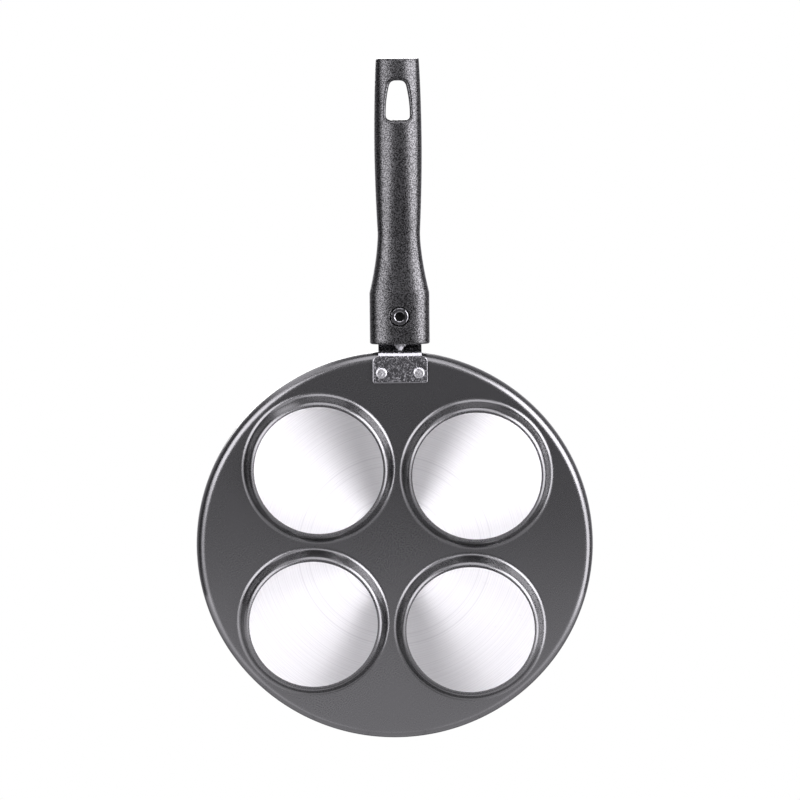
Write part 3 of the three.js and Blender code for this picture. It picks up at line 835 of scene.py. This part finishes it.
def rivet_profile():
    """Rivet from its formed tail under the plate to its low dome on the cooking side."""
    tail_top = plate_under - CONTACT_GAP
    tail = tail_top - RIVET_TAIL_HEIGHT
    dome_under = deck_top + CONTACT_GAP
    dome_top = dome_under + RIVET_HEAD_HEIGHT
    dome_radius = (rivet_head ** 2 + RIVET_HEAD_HEIGHT ** 2) / (2 * RIVET_HEAD_HEIGHT)
    dome_from = math.pi - math.asin(rivet_head / dome_radius)
    edge_centre = (rivet_tail - RIVET_TAIL_EDGE, tail + RIVET_TAIL_EDGE)
    return [
        (0, tail + RIVET_TAIL_DISH),
        (rivet_tail / 3, tail + RIVET_TAIL_DISH * 3 / 4),
        *arc(edge_centre, RIVET_TAIL_EDGE, 0, RIGHT_ANGLE, SMALL_STEPS),
        (rivet_tail, tail_top),
        (RIVET_SHANK, tail_top),
        (RIVET_SHANK, dome_under),
        *arc((0, dome_top - dome_radius), dome_radius, dome_from, math.pi, SMALL_STEPS),
    ]


def rivets():
    """Two rivets through plate and pan."""
    graph, given = sized_tree("rivet_pair", RIVET_SIZES)
    rivet = turned(graph, "rivet", rivet_profile(), SMALL_SEGMENTS)
    pair = spread(graph, rivet_points(graph, given), rivet)
    graph.end([finished(graph, [pair], HAMMERED)])
    piece = grown_from(graph.tree, "rivet_pair", RIVET_SIZES)
    tidy_mesh(piece)
    finish_piece(piece, "rivet_aluminium", "rivet_left", "rivet_right")


def cut(made, cutters):
    """Takes closed cutters out of a closed mesh."""
    for cutter in cutters:
        modifier = made.modifiers.new("cut", "BOOLEAN")
        modifier.operation = "DIFFERENCE"
        modifier.solver = "EXACT"
        modifier.object = cutter
    settle(made)
    for cutter in cutters:
        bpy.data.objects.remove(cutter)


def ring_faces(rows, count):
    """Faces between rows of points, each row a closed ring of a count of points."""
    faces = []
    for row in range(rows - 1):
        low = row * count
        high = low + count
        for k in range(count):
            after = (k + 1) % count
            faces.append((low + k, low + after, high + after, high + k))
    return faces


def lathe(name, points, place):
    """A round solid about its own Z axis from radius and height points that start and end on the axis."""
    corners = []
    for radius, height in points:
        for k in range(SMALL_SEGMENTS):
            angle = FULL_TURN * k / SMALL_SEGMENTS
            corners.append((radius * math.cos(angle), radius * math.sin(angle), height))
    made = mesh_object(name, corners, ring_faces(len(points), SMALL_SEGMENTS), place)
    tidy_mesh(made)
    return made


def rod(name, radius, low, high, place):
    """A plain cylinder about its own Z axis."""
    return lathe(name, [(0, low), (radius, low), (radius, high), (0, high)], place)


def block(name, width, along, up, place):
    """A box across the middle plane, with a start and an end along Y and up Z."""
    half = width / 2
    corners = [(x, y, z) for x in (-half, half) for y in along for z in up]
    faces = [(0, 1, 3, 2), (4, 6, 7, 5), (0, 4, 5, 1), (2, 3, 7, 6), (0, 2, 6, 4), (1, 5, 7, 3)]
    made = mesh_object(name, corners, faces, place)
    tidy_mesh(made)
    return made


def straight_rows(begin, end):
    """Evenly spaced points from one point to another, without the last."""
    count = max(1, round((end - begin).length / BRACKET_STEP))
    return [begin.lerp(end, k / count) for k in range(count)]


def bracket_rows():
    """Points along the bracket's middle line, as outward and up, with its two bends rounded."""
    corners = [
        Vector((plate_edge, plate_middle)),
        Vector((riser_at(plate_middle), plate_middle)),
        tang_point(0),
        tang_point(tang_length),
    ]
    rows = []
    begin = corners[0]
    for k, radius in enumerate(bend_radii, 1):
        before = (corners[k - 1] - corners[k]).normalized()
        after = (corners[k + 1] - corners[k]).normalized()
        half_turn = (math.pi - before.angle(after)) / 2
        run = radius * math.tan(half_turn)
        start = corners[k] + before * run
        end = corners[k] + after * run
        centre = corners[k] + (before + after).normalized() * (radius / math.cos(half_turn))
        turn = (start - centre).angle_signed(end - centre)
        rows += straight_rows(begin, start)
        for step in range(BEND_STEPS):
            rows.append(centre + Matrix.Rotation(-turn * step / BEND_STEPS, 2) @ (start - centre))
        begin = end
    return rows + straight_rows(begin, corners[-1]) + [corners[-1]]


def bracket_half(outward):
    """Half the bracket's width at a distance from the pan's axis: rounded plate, neck and clipped tang."""
    tang_end = tang_point(tang_length).x
    neck = NECK_WIDTH / 2
    if outward < plate_edge + PLATE_END_CORNER:
        left = plate_edge + PLATE_END_CORNER - outward
        return plate_half - PLATE_END_CORNER + math.sqrt(max(0, PLATE_END_CORNER ** 2 - left ** 2))
    if outward < shoulder - PLATE_CORNER:
        return plate_half
    if outward < shoulder:
        gone = outward - shoulder + PLATE_CORNER
        return plate_half - PLATE_CORNER + math.sqrt(PLATE_CORNER ** 2 - gone ** 2)
    if outward < shoulder + NECK_FILLET:
        left = shoulder + NECK_FILLET - outward
        return neck + NECK_FILLET - math.sqrt(NECK_FILLET ** 2 - left ** 2)
    return min(neck, neck - TANG_CORNER + tang_end - outward)


def dart_shift(across, row):
    """How far the pressed dart moves a point of the sheet, as outward and up."""
    bend = tang_point(0)
    riser_way = Vector((-math.cos(riser_angle), -math.sin(riser_angle)))
    tang_way = (tang_point(1) - bend).normalized()
    riser_end = bend + riser_way * DART_ON_RISER
    tang_end = bend + tang_way * DART_ON_TANG
    ridge = (tang_end - riser_end).normalized()
    ridge_length = (tang_end - riser_end).length
    share = (row - riser_end).dot(ridge) / ridge_length
    if not 0 < share < 1:
        return Vector((0, 0))
    at_bend = (bend - riser_end).dot(ridge) / ridge_length
    width = share / at_bend if share < at_bend else (1 - share) / (1 - at_bend)
    half = DART_WIDTH / 2 * width
    if abs(across) >= half:
        return Vector((0, 0))
    top = riser_end.lerp(tang_end, share)
    return (top - row) * (1 - abs(across) / half)


def coined_share(across, row):
    """Share of the sheet's thickness that is left at a point: less in the coined border of the plate."""
    if row.x > shoulder:
        return 1
    borders = [bracket_half(row.x) - abs(across), row.x - plate_edge, COINED_WIDTH]
    if abs(across) > NECK_WIDTH / 2:
        borders.append(shoulder - row.x)
    return 1 - 2 * COINED_DROP / BRACKET_SHEET * (1 - min(borders) / COINED_WIDTH)


class BracketSheet:
    """Middle surface of the bent bracket, with the points that the dart moves and the thickness there."""

    def __init__(self):
        self.points = []
        self.shares = []
        self.pressed = set()
        rows = bracket_rows()
        for row in rows:
            self.add_row(row)
        columns = BRACKET_COLUMNS + 1
        corners = [row * columns + k for row in range(len(rows) - 1) for k in range(BRACKET_COLUMNS)]
        self.faces = [(k, k + 1, k + columns + 1, k + columns) for k in corners]

    def add_row(self, row):
        """A row of points across the sheet, closer together at its edges."""
        half = bracket_half(row.x)
        for column in range(BRACKET_COLUMNS + 1):
            across = half * math.sin(RIGHT_ANGLE * (2 * column / BRACKET_COLUMNS - 1))
            shift = dart_shift(across, row)
            if shift.length > 0:
                self.pressed.add(len(self.points))
            bent = row + shift
            self.points.append((across, -bent.x, bent.y))
            self.shares.append(coined_share(across, row))

    def finish_faces(self, piece):
        """Gives the dart and the coined border finishes of their own; the coined border's darker colour is
        painted shade.
        """
        for material in (STEEL, PRESSED_STEEL, COINED_STEEL_PAINTED_SHADE):
            piece.data.materials.append(material)
        for face in piece.data.polygons:
            if self.pressed.issuperset(face.vertices):
                face.material_index = 1
            # The coined border takes a darker steel, which is painted shade along the plate's edge
            elif min(self.shares[k] for k in face.vertices) < 1:
                face.material_index = 2

    def thicken(self, piece):
        """Makes the surface a sheet, thinner where it is coined."""
        coined = piece.vertex_groups.new(name="thickness")
        for index, share in enumerate(self.shares):
            coined.add([index], share, "REPLACE")
        wall = piece.modifiers.new("sheet", "SOLIDIFY")
        wall.thickness = BRACKET_SHEET * MM
        wall.offset = 0
        wall.vertex_group = coined.name
        settle(piece)
        piece.vertex_groups.clear()


def bracket_holes():
    """Cutters for the rivets and the screw."""
    through = 2 * BRACKET_SHEET
    holes = [rod("screw_hole", screw_bore, -through, through, SCREW_PLACE)]
    for side in (-rivet_offset, rivet_offset):
        place = BRACKET_PLACE @ Matrix.Translation((side, -rivet_place, plate_middle))
        holes.append(rod("rivet_hole", rivet_hole, -through, through, place))
    return holes


def bracket():
    """Bent steel sheet: riveted plate, riser with a pressed dart, and a tang inside the handle."""
    sheet = BracketSheet()
    piece = mesh_object("bent_bracket", sheet.points, sheet.faces, BRACKET_PLACE)
    sheet.finish_faces(piece)
    sheet.thicken(piece)
    tidy_mesh(piece, sharp=60)
    cut(piece, bracket_holes())
    edge = piece.modifiers.new("edge", "BEVEL")
    edge.width = BRACKET_EDGE * MM
    edge.segments = EDGE_STEPS
    edge.angle_limit = BRACKET_EDGE_ANGLE
    settle(piece)
    tidy_mesh(piece)
    finish_piece(piece, "bracket_steel", "handle_bracket")


def handle_size(distance, collar, waist, grip, tip):
    """A size of the handle at a distance from its pan end."""
    if distance <= COLLAR_LENGTH:
        return collar
    if distance <= waist_at:
        return waist + (collar - waist) * ((waist_at - distance) / FLARE_LENGTH) ** FLARE_POWER
    if distance <= grip_at:
        return grip + (waist - grip) * ((grip_at - distance) / BELLY_LENGTH) ** BELLY_POWER
    return grip + (tip - grip) * ((distance - grip_at) / TAPER_LENGTH) ** TAPER_POWER


def handle_half(distance):
    return handle_size(distance, collar_width, WAIST_WIDTH, GRIP_WIDTH, TIP_WIDTH) / 2


def handle_depth(distance, side):
    if side < 0:
        return handle_size(distance, collar_below, WAIST_BELOW, GRIP_BELOW, TIP_BELOW)
    return handle_size(distance, collar_above, WAIST_ABOVE, GRIP_ABOVE, TIP_ABOVE)


def handle_squareness(distance):
    return handle_size(distance, COLLAR_SQUARENESS, COLLAR_SQUARENESS, GRIP_SQUARENESS, GRIP_SQUARENESS)


def handle_point(distance, angle, side, inset=0, sink=0):
    """Point on the skin, above or below: angle 0 is the right edge and half a turn the left one."""
    power = 2 / handle_squareness(distance)
    across = math.copysign(abs(math.cos(angle)) ** power, math.cos(angle))
    x = (handle_half(distance) - inset) * across
    up = (handle_depth(distance, side) - inset) * max(0, math.sin(angle)) ** power
    z = side * (up - sink)
    near_tip = max(0, (distance - grip_at) / TAPER_LENGTH)
    near_end = max(0, 1 - (handle_length - distance) / TIP_RAKE_LENGTH)
    crown = TIP_CROWN * near_tip * (x / (TIP_WIDTH / 2)) ** 2
    rake = TIP_RAKE * near_end ** 2 * (TIP_ABOVE - z) / (TIP_ABOVE + TIP_BELOW)
    return Vector((x, crown + rake - distance, z))


def handle_rows():
    """Distances along the handle with the inset of its skin there, rounded at both ends."""
    quarter = [RIGHT_ANGLE * k / SMALL_STEPS for k in range(SMALL_STEPS + 1)]
    rows = [(COLLAR_EDGE * (1 - math.cos(a)), COLLAR_EDGE * (1 - math.sin(a))) for a in quarter]
    stops = [COLLAR_EDGE, COLLAR_LENGTH, waist_at, grip_at, handle_length - TIP_EDGE]
    for start, end in zip(stops, stops[1:]):
        count = round((end - start) / HANDLE_STEP)
        rows += [(start + (end - start) * k / count, 0) for k in range(1, count + 1)]
    tip = [(handle_length - TIP_EDGE * (1 - math.cos(a)), TIP_EDGE * (1 - math.sin(a))) for a in quarter]
    return rows + tip[-2::-1]


def curve_points(start, control, end):
    """Points of a quadratic curve, without its end."""
    shares = [k / BEND_STEPS for k in range(BEND_STEPS)]
    return [start.lerp(control, t).lerp(control.lerp(end, t), t) for t in shares]


def hole_outline():
    """Outline of the hanging hole as across and along points: rounded, and wider towards the pan."""
    tip = handle_length - HOLE_FROM_TIP
    pan = tip - HOLE_LENGTH
    bow = tip - HOLE_LENGTH / 2
    narrow = HOLE_WIDTH_TIP / 2
    wide = HOLE_WIDTH_PAN / 2
    top = Vector((narrow - HOLE_CORNER, tip))
    side_start = Vector((narrow + HOLE_CORNER * (wide - narrow) / (tip - bow), tip - HOLE_CORNER))
    side_end = Vector((wide, pan + HOLE_CORNER))
    bottom = Vector((wide - HOLE_CORNER, pan))
    half = [
        *curve_points(top, Vector((narrow, tip)), side_start),
        *curve_points(side_start, Vector((wide, bow)), side_end),
        *curve_points(side_end, Vector((wide, pan)), bottom),
        bottom,
        Vector((wide / 4, pan)),
        Vector((0, pan)),
    ]
    return half + [Vector((-point.x, point.y)) for point in reversed(half[:-1])]


def outward_ways(outline):
    """Unit vectors that point out of a closed outline at its points."""
    count = len(outline)
    steps = [outline[(k + 1) % count] - outline[k - 1] for k in range(count)]
    ways = [Vector((-step.y, step.x)).normalized() for step in steps]
    centre = sum(outline, Vector((0, 0))) / count
    flip = 1 if ways[0].dot(outline[0] - centre) > 0 else -1
    return [way * flip for way in ways]


def inside(point, outline):
    """Whether a point lies in a closed outline."""
    crossings = 0
    for k, end in enumerate(outline):
        start = outline[k - 1]
        if (start.y > point.y) != (end.y > point.y):
            reach = start.x + (point.y - start.y) * (end.x - start.x) / (end.y - start.y)
            crossings += reach > point.x
    return crossings % 2 == 1


def loop_edges(first, count):
    """Edges of a closed loop of points with running numbers."""
    return [(first + k, first + (k + 1) % count) for k in range(count)]


class HandleSkin:
    """Mesh of the handle: a grid of quads above and below, with a rounded hole through both."""

    def __init__(self):
        self.points = []
        self.faces = []
        self.grid = {}
        self.rows = handle_rows()
        self.outline = hole_outline()
        self.ways = outward_ways(self.outline)
        self.window_rows, self.window_columns = self.window()
        self.strip(*[self.half(side) for side in (-1, 1)])
        self.ends()

    def add(self, point):
        self.points.append(point)
        return len(self.points) - 1

    def face(self, *corners):
        self.faces.append(tuple(dict.fromkeys(corners)))

    def strip(self, first, second):
        """Faces between two loops of the same length."""
        for k in range(len(first)):
            self.face(first[k - 1], first[k], second[k], second[k - 1])

    def flat(self, name):
        """A point of the skin seen from above, as across and along."""
        return Vector((self.points[name].x, -self.points[name].y))

    def window(self):
        """Ranges of the grid's rows and columns that surround the hole."""
        low = min(point.y for point in self.outline) - HOLE_SURROUND
        high = max(point.y for point in self.outline) + HOLE_SURROUND
        rows = [k for k, (distance, inset) in enumerate(self.rows) if low <= distance <= high and inset == 0]
        return range(rows[0], rows[-1]), range(HOLE_SIDE_COLUMNS, HANDLE_COLUMNS - HOLE_SIDE_COLUMNS)

    def half(self, side):
        """One half of the skin; returns the loop of points at the foot of the hole's fillet."""
        for row, (distance, inset) in enumerate(self.rows):
            for column in range(HANDLE_COLUMNS + 1):
                shared = self.grid.get((-side, row, column)) if column in (0, HANDLE_COLUMNS) else None
                angle = math.pi * column / HANDLE_COLUMNS
                if shared is None:
                    shared = self.add(handle_point(distance, angle, side, inset))
                self.grid[side, row, column] = shared
        for row in range(len(self.rows) - 1):
            for column in range(HANDLE_COLUMNS):
                if row not in self.window_rows or column not in self.window_columns:
                    self.face(*self.cell(side, row, column))
        return self.hole(side)

    def cell(self, side, row, column):
        """Corners of one quad of the grid."""
        return [self.grid[side, row + r, column + c] for r, c in ((0, 0), (0, 1), (1, 1), (1, 0))]

    def ring(self, reach):
        """The hole's outline set out by a distance."""
        return [point + way * reach for point, way in zip(self.outline, self.ways)]

    def loop(self, side, reach, sink):
        """A loop of points around the hole, set out from its outline and sunk below the skin."""
        made = []
        for spot in self.ring(reach):
            share = abs(spot.x) / handle_half(spot.y)
            angle = math.acos(math.copysign(share ** (handle_squareness(spot.y) / 2), spot.x))
            made.append(self.add(handle_point(spot.y, angle, side, 0, sink)))
        return made

    def border(self, side):
        """Grid points around the window."""
        top = self.window_rows.start
        bottom = self.window_rows.stop
        left = self.window_columns.start
        right = self.window_columns.stop
        places = [(top, column) for column in range(left, right)]
        places += [(row, right) for row in range(top, bottom)]
        places += [(bottom, column) for column in range(right, left, -1)]
        places += [(row, left) for row in range(bottom, top, -1)]
        return [self.grid[side, row, column] for row, column in places]

    def patch(self, side, rim_loop, rim_reach):
        """Triangles between the window's border and a loop around the hole."""
        rim = self.ring(rim_reach)
        keep_out = self.ring(rim_reach + FLAT_MARGIN)
        border = self.border(side)
        grid = [self.grid[side, row, column]
                for row in self.window_rows[1:] for column in self.window_columns[1:]]
        free = [name for name in grid if not inside(self.flat(name), keep_out)]
        names = border + free + rim_loop
        edges = loop_edges(0, len(border)) + loop_edges(len(border) + len(free), len(rim_loop))
        chart = [self.flat(name) for name in names]
        spots, _, triangles, origins, _, _ = delaunay_2d_cdt(chart, edges, [], 1, CHART_WELD)
        for triangle in triangles:
            middle = sum((spots[k] for k in triangle), Vector((0, 0))) / 3
            if not inside(middle, rim):
                self.face(*(names[origins[k][0]] for k in triangle))

    def hole(self, side):
        """The skin around the hole and the fillet into it; returns the loop at the fillet's foot."""
        rim_reach = HOLE_FILLET + FLAT_MARGIN
        loops = [self.loop(side, rim_reach, 0)]
        self.patch(side, loops[0], rim_reach)
        for step in range(SMALL_STEPS + 1):
            angle = RIGHT_ANGLE * (1 - step / SMALL_STEPS)
            reach = HOLE_FILLET * (1 - math.cos(angle))
            loops.append(self.loop(side, reach, HOLE_FILLET * (1 - math.sin(angle))))
        for first, second in zip(loops, loops[1:]):
            self.strip(first, second)
        return loops[-1]

    def ends(self):
        """Closes the collar's face and the tip."""
        for row in (0, len(self.rows) - 1):
            for column in range(HANDLE_COLUMNS):
                below = [self.grid[-1, row, column], self.grid[-1, row, column + 1]]
                above = [self.grid[1, row, column + 1], self.grid[1, row, column]]
                self.face(*below, *above)


def counterbore_profile():
    """Cutter for the screw's seat, with a flared mouth."""
    mouth = counterbore + COUNTERBORE_FLARE
    past = 2 * collar_below
    return [
        (0, screw_seat),
        (counterbore, screw_seat),
        (counterbore, COUNTERBORE_FLARE_FROM - collar_below),
        (mouth, COUNTERBORE_FLARE_TO - collar_below),
        (mouth, -past),
        (0, -past),
    ]


def handle_cutters():
    """Cutters for the tang, the nut, the dart and the screw."""
    slot_end = SCREW_AT + TANG_PAST_SCREW + FIT_GAP
    nut_reach = SCREW_AT + nut_half + FIT_GAP
    dart_reach = DART_ON_TANG - handle_gap + FIT_GAP
    dart_slope = DART_ON_RISER * math.sin(tang_turn) / (DART_ON_TANG + DART_ON_RISER * math.cos(tang_turn))
    dart_drop = dart_reach * dart_slope + slot_half
    mouth = COLLAR_EDGE
    slot_width = NECK_WIDTH + 2 * FIT_GAP
    nut_width = 2 * (nut_half + FIT_GAP)
    dart_width = DART_WIDTH + 2 * FIT_GAP
    return [
        block("tang_slot", slot_width, (-slot_end, mouth), (-slot_half, slot_half), HANDLE_PLACE),
        block("nut_pocket", nut_width, (-nut_reach, mouth), (0, nut_top + FIT_GAP), HANDLE_PLACE),
        block("dart_relief", dart_width, (-dart_reach, mouth), (-dart_drop, 0), HANDLE_PLACE),
        rod("screw_bore", screw_bore, screw_seat - FIT_GAP, 0, SCREW_PLACE),
        lathe("counterbore", counterbore_profile(), SCREW_PLACE),
    ]


def handle():
    """Moulded handle with a hanging hole, a socket for the tang and a counterbore for the screw."""
    skin = HandleSkin()
    piece = mesh_object("moulded_handle", skin.points, skin.faces, HANDLE_PLACE)
    tidy_mesh(piece)
    cut(piece, handle_cutters())
    tidy_mesh(piece, sharp=40)
    piece.data.materials.clear()
    piece.data.materials.append(MOULDING)
    finish_piece(piece, "handle_moulding", "handle_grip")


def screw():
    """Cap screw, head down, whose round countersink runs into a hexagon socket."""
    side = math.pi / SOCKET_SIDES
    flat = SOCKET_CORNER * math.cos(side)
    socket_floor = head_under + SOCKET_DEPTH
    # Each ring is a radius, a share of the hexagon that is added to it, and a height
    socket_rings = [
        (0, 0, socket_floor + SOCKET_CHAMFER),
        (0, 1, socket_floor),
        (0, 1, head_under + 2 * SOCKET_CHAMFER),
    ]
    head_rings = [
        (SOCKET_ROUND, 0, head_under + SOCKET_CHAMFER),
        (SOCKET_MOUTH, 0, head_under),
        (SCREW_HEAD - SCREW_HEAD_EDGE, 0, head_under),
        (SCREW_HEAD - SCREW_HEAD_ROUND, 0, head_under + SCREW_HEAD_CHAMFER),
        (SCREW_HEAD, 0, head_under + SCREW_HEAD_CHAMFER + SCREW_HEAD_ROUND),
        (SCREW_HEAD, 0, head_seat),
        (SCREW_SHANK, 0, head_seat),
        (SCREW_SHANK, 0, nut_top),
        (0, 0, nut_top),
    ]
    rings = socket_rings + head_rings
    points = []
    for radius, hexagon, height in rings:
        for k in range(SMALL_SEGMENTS):
            angle = FULL_TURN * k / SMALL_SEGMENTS
            reach = radius + hexagon * flat / math.cos(angle % (2 * side) - side)
            points.append((reach * math.cos(angle), reach * math.sin(angle), height))
    piece = mesh_object("cap_screw", points, ring_faces(len(rings), SMALL_SEGMENTS), SCREW_PLACE)
    piece.data.materials.append(ZINC)
    piece.data.materials.append(SOCKET_SHADE)
    # The socket's faces take a near-black colour, which is painted shade inside the socket
    for face in piece.data.polygons[:len(socket_rings) * SMALL_SEGMENTS]:
        face.material_index = 1
    tidy_mesh(piece, sharp=15)
    finish_piece(piece, "fastener_steel", "handle_screw")


def washer():
    """Split spring washer whose two ends stand a little apart."""
    inner = screw_bore
    outer = WASHER_RADIUS
    low = washer_under
    high = washer_under + WASHER_THICK
    section = [
        (inner, low + WASHER_EDGE),
        (inner + WASHER_EDGE, low),
        (outer - WASHER_EDGE, low),
        (outer, low + WASHER_EDGE),
        (outer, high - WASHER_EDGE),
        (outer - WASHER_EDGE, high),
        (inner + WASHER_EDGE, high),
        (inner, high - WASHER_EDGE),
    ]
    split = WASHER_SPLIT / WASHER_RADIUS
    points = []
    for k in range(SMALL_SEGMENTS + 1):
        share = k / SMALL_SEGMENTS
        angle = WASHER_SPLIT_AT + split / 2 + (FULL_TURN - split) * share
        for radius, height in section:
            reach = radius + WASHER_SPREAD * (share - 0.5)
            points.append((reach * math.cos(angle), reach * math.sin(angle), height))
    count = len(section)
    ends = [tuple(range(count)), tuple(range(len(points) - count, len(points)))]
    piece = mesh_object("split_washer", points, ends + ring_faces(SMALL_SEGMENTS + 1, count), SCREW_PLACE)
    tidy_mesh(piece)
    piece.data.materials.append(ZINC)
    finish_piece(piece, "fastener_steel", "spring_washer")


def nut():
    """The nut inside the handle keeps its own shape and takes the fasteners' finish."""
    shown = frame["nodes"]["tang_nut"]
    shown.data.materials.clear()
    shown.data.materials.append(ZINC)


def camera():
    """Camera below the pan, with the handle pointing up in the picture."""
    turn = (Matrix.Rotation(math.radians(CAMERA_ROLL), 3, "Z")
            @ Matrix.Rotation(math.radians(CAMERA_SWING), 3, "Y")
            @ Matrix.Rotation(math.radians(CAMERA_TILT), 3, "X"))
    place = PAN_AXIS - turn.transposed() @ Vector(CAMERA_PLACE) * MM
    axes = Matrix((turn[0], -turn[1], -turn[2])).transposed().to_4x4()
    data = bpy.data.cameras.new("camera")
    data.lens = CAMERA_LENS
    data.sensor_width = CAMERA_SENSOR
    data.clip_end = CAMERA_CLIP
    made = bpy.data.objects.new("camera", data)
    made.matrix_world = Matrix.Translation(place) @ axes
    bpy.context.scene.collection.objects.link(made)
    bpy.context.scene.camera = made


def pale_floor(graph):
    """Paint that fades to white far out, and is clear to all but a camera above it."""
    seen = graph.node("ShaderNodeLightPath", output="Is Camera Ray")
    behind = graph.node("ShaderNodeNewGeometry", output="Backfacing")
    cloud = graph.noise(graph.place(), size=300)
    paint = graph.node("ShaderNodeBsdfDiffuse", {}, {"Color": graph.blend(cloud, grey(0.86), grey(0.90))})
    white = graph.node("ShaderNodeEmission", {}, {"Color": grey(1)})
    radius = graph.from_axis(graph.place())
    far = graph.remap(radius, FLOOR_FADE_FROM, FLOOR_FADE_TO, FLOOR_GLOW, 1.0)
    pale = graph.node("ShaderNodeMixShader", {}, {0: far, 1: paint, 2: white})
    clear = graph.node("ShaderNodeBsdfTransparent")
    surface = graph.node("ShaderNodeMixShader", {}, {0: seen * (1 - behind), 1: clear, 2: pale})
    graph.node("ShaderNodeOutputMaterial", {}, {"Surface": surface})


def floor():
    """Pale floor that only a camera above it sees, so that the underside can be looked at through it."""
    material = bpy.data.materials.new("pale_floor")
    pale_floor(empty_graph(material))
    sides = [(-1, -1), (1, -1), (1, 1), (-1, 1)]
    corners = [(x * FLOOR_HALF, y * FLOOR_HALF, -FLOOR_DROP) for x, y in sides]
    made = mesh_object("floor", corners, [(0, 1, 2, 3)])
    made.data.materials.append(material)
    return made


def world():
    """White room for the camera, which lights from above, is dim below and lights dull surfaces less."""
    made = bpy.data.worlds.new("studio")
    bpy.context.scene.world = made
    graph = empty_graph(made)
    _, _, up = graph.xyz(graph.node("ShaderNodeTexCoord", output="Generated"))
    below = graph.remap(up, -1.0, ROOM_UNDERFOOT_TOP, ROOM_UNDERFOOT, ROOM_BELOW)
    wall = graph.remap(up, 0.0, ROOM_WALL_TOP, 0.0, ROOM_WALL)
    ceiling = graph.remap(up, ROOM_CEILING_FROM, ROOM_CEILING_TO, 0.0, ROOM_CEILING)
    seen = graph.node("ShaderNodeLightPath", output="Is Camera Ray")
    mirrored = seen.also("Is Glossy Ray") + seen.also("Is Transmission Ray")
    share = ROOM_DULL_SHARE + (1 - ROOM_DULL_SHARE) * mirrored
    strength = seen + (1 - seen) * (below + wall + ceiling) * share
    tint = graph.blend(seen, (*LIGHT_TINT, 1), grey(1))
    back = graph.node("ShaderNodeBackground", {}, {"Color": tint, "Strength": strength})
    graph.node("ShaderNodeOutputWorld", {}, {"Surface": back})


def lamp(name, place, across, facing, size, radiance, tint):
    """A soft lamp, width and length in metres: its width lies along across, and it shines along facing."""
    width, length = size
    data = bpy.data.lights.new(name, "AREA")
    data.shape = "RECTANGLE"
    data.size = width
    data.size_y = length
    data.energy = radiance * math.pi * width * length
    data.color = tint
    made = bpy.data.objects.new(name, data)
    back = -Vector(facing).normalized()
    right = Vector(across).normalized()
    axes = Matrix((right, back.cross(right), back)).transposed().to_4x4()
    made.matrix_world = Matrix.Translation(place) @ axes
    made.visible_camera = False
    bpy.context.scene.collection.objects.link(made)
    return made


def soft_box(name, azimuth, off_axis, span, depth, radiance):
    """A lamp below the pan that faces it."""
    turn = math.radians(azimuth)
    lean = math.radians(off_axis)
    way = Vector((math.sin(lean) * math.cos(turn), -math.sin(lean) * math.sin(turn), -math.cos(lean)))
    along = Vector((-math.sin(turn), -math.cos(turn), 0))
    width = 2 * LAMP_DISTANCE * math.sin(lean) * math.tan(math.radians(span / 2))
    length = 2 * LAMP_DISTANCE * math.tan(math.radians(depth / 2))
    lamp(name, PAN_AXIS + way * LAMP_DISTANCE, along, -way, (width, length), radiance, LIGHT_TINT)


def edge_strips(ground):
    """Narrow lamps along the pan's far edge, which light the pan and leave the floor alone."""
    unlit = bpy.data.collections.new("unlit_by_strips")
    unlit.objects.link(ground)
    unlit.collection_objects[0].light_linking.link_state = "EXCLUDE"
    reach = rim_radius * MM + STRIP_GAP
    size = (STRIP_SPREAD * reach / STRIP_COUNT, STRIP_HEIGHT)
    for k in range(STRIP_COUNT):
        turn = STRIP_SPREAD * ((k + 0.5) / STRIP_COUNT - 0.5)
        way = Vector((math.sin(turn), math.cos(turn), 0))
        along = Vector((way.y, -way.x, 0))
        place = PAN_AXIS + way * reach
        strip = lamp(f"edge_strip_{k}", place, along, -way, size, STRIP_RADIANCE, LIGHT_TINT)
        strip.light_linking.receiver_collection = unlit


def lamps(ground):
    """Soft boxes left and right of the camera, a pale table, strips along the far edge and a lamp above."""
    for name, settings in SOFT_BOXES.items():
        soft_box(name, **settings)
    across = Vector((1, 0, 0))
    table = PAN_AXIS + Vector((0, rim_radius * MM + TABLE_GAP, TABLE_MIDDLE))
    lamp("table", table, across, (0, -1, 0), TABLE_SIZE, TABLE_RADIANCE, LIGHT_TINT)
    edge_strips(ground)
    above = Vector(TOP_LAMP_PLACE)
    lamp("top_lamp", PAN_AXIS + above, across, -above, TOP_LAMP_SIZE, TOP_LAMP_RADIANCE, TOP_LAMP_TINT)


def build():
    camera()
    world()
    lamps(floor())
    pressed_pan()
    rivets()
    drop_profiles()
    bracket()
    handle()
    screw()
    washer()
    nut()


bpy.context.scene.view_settings.view_transform = "Standard"
build()
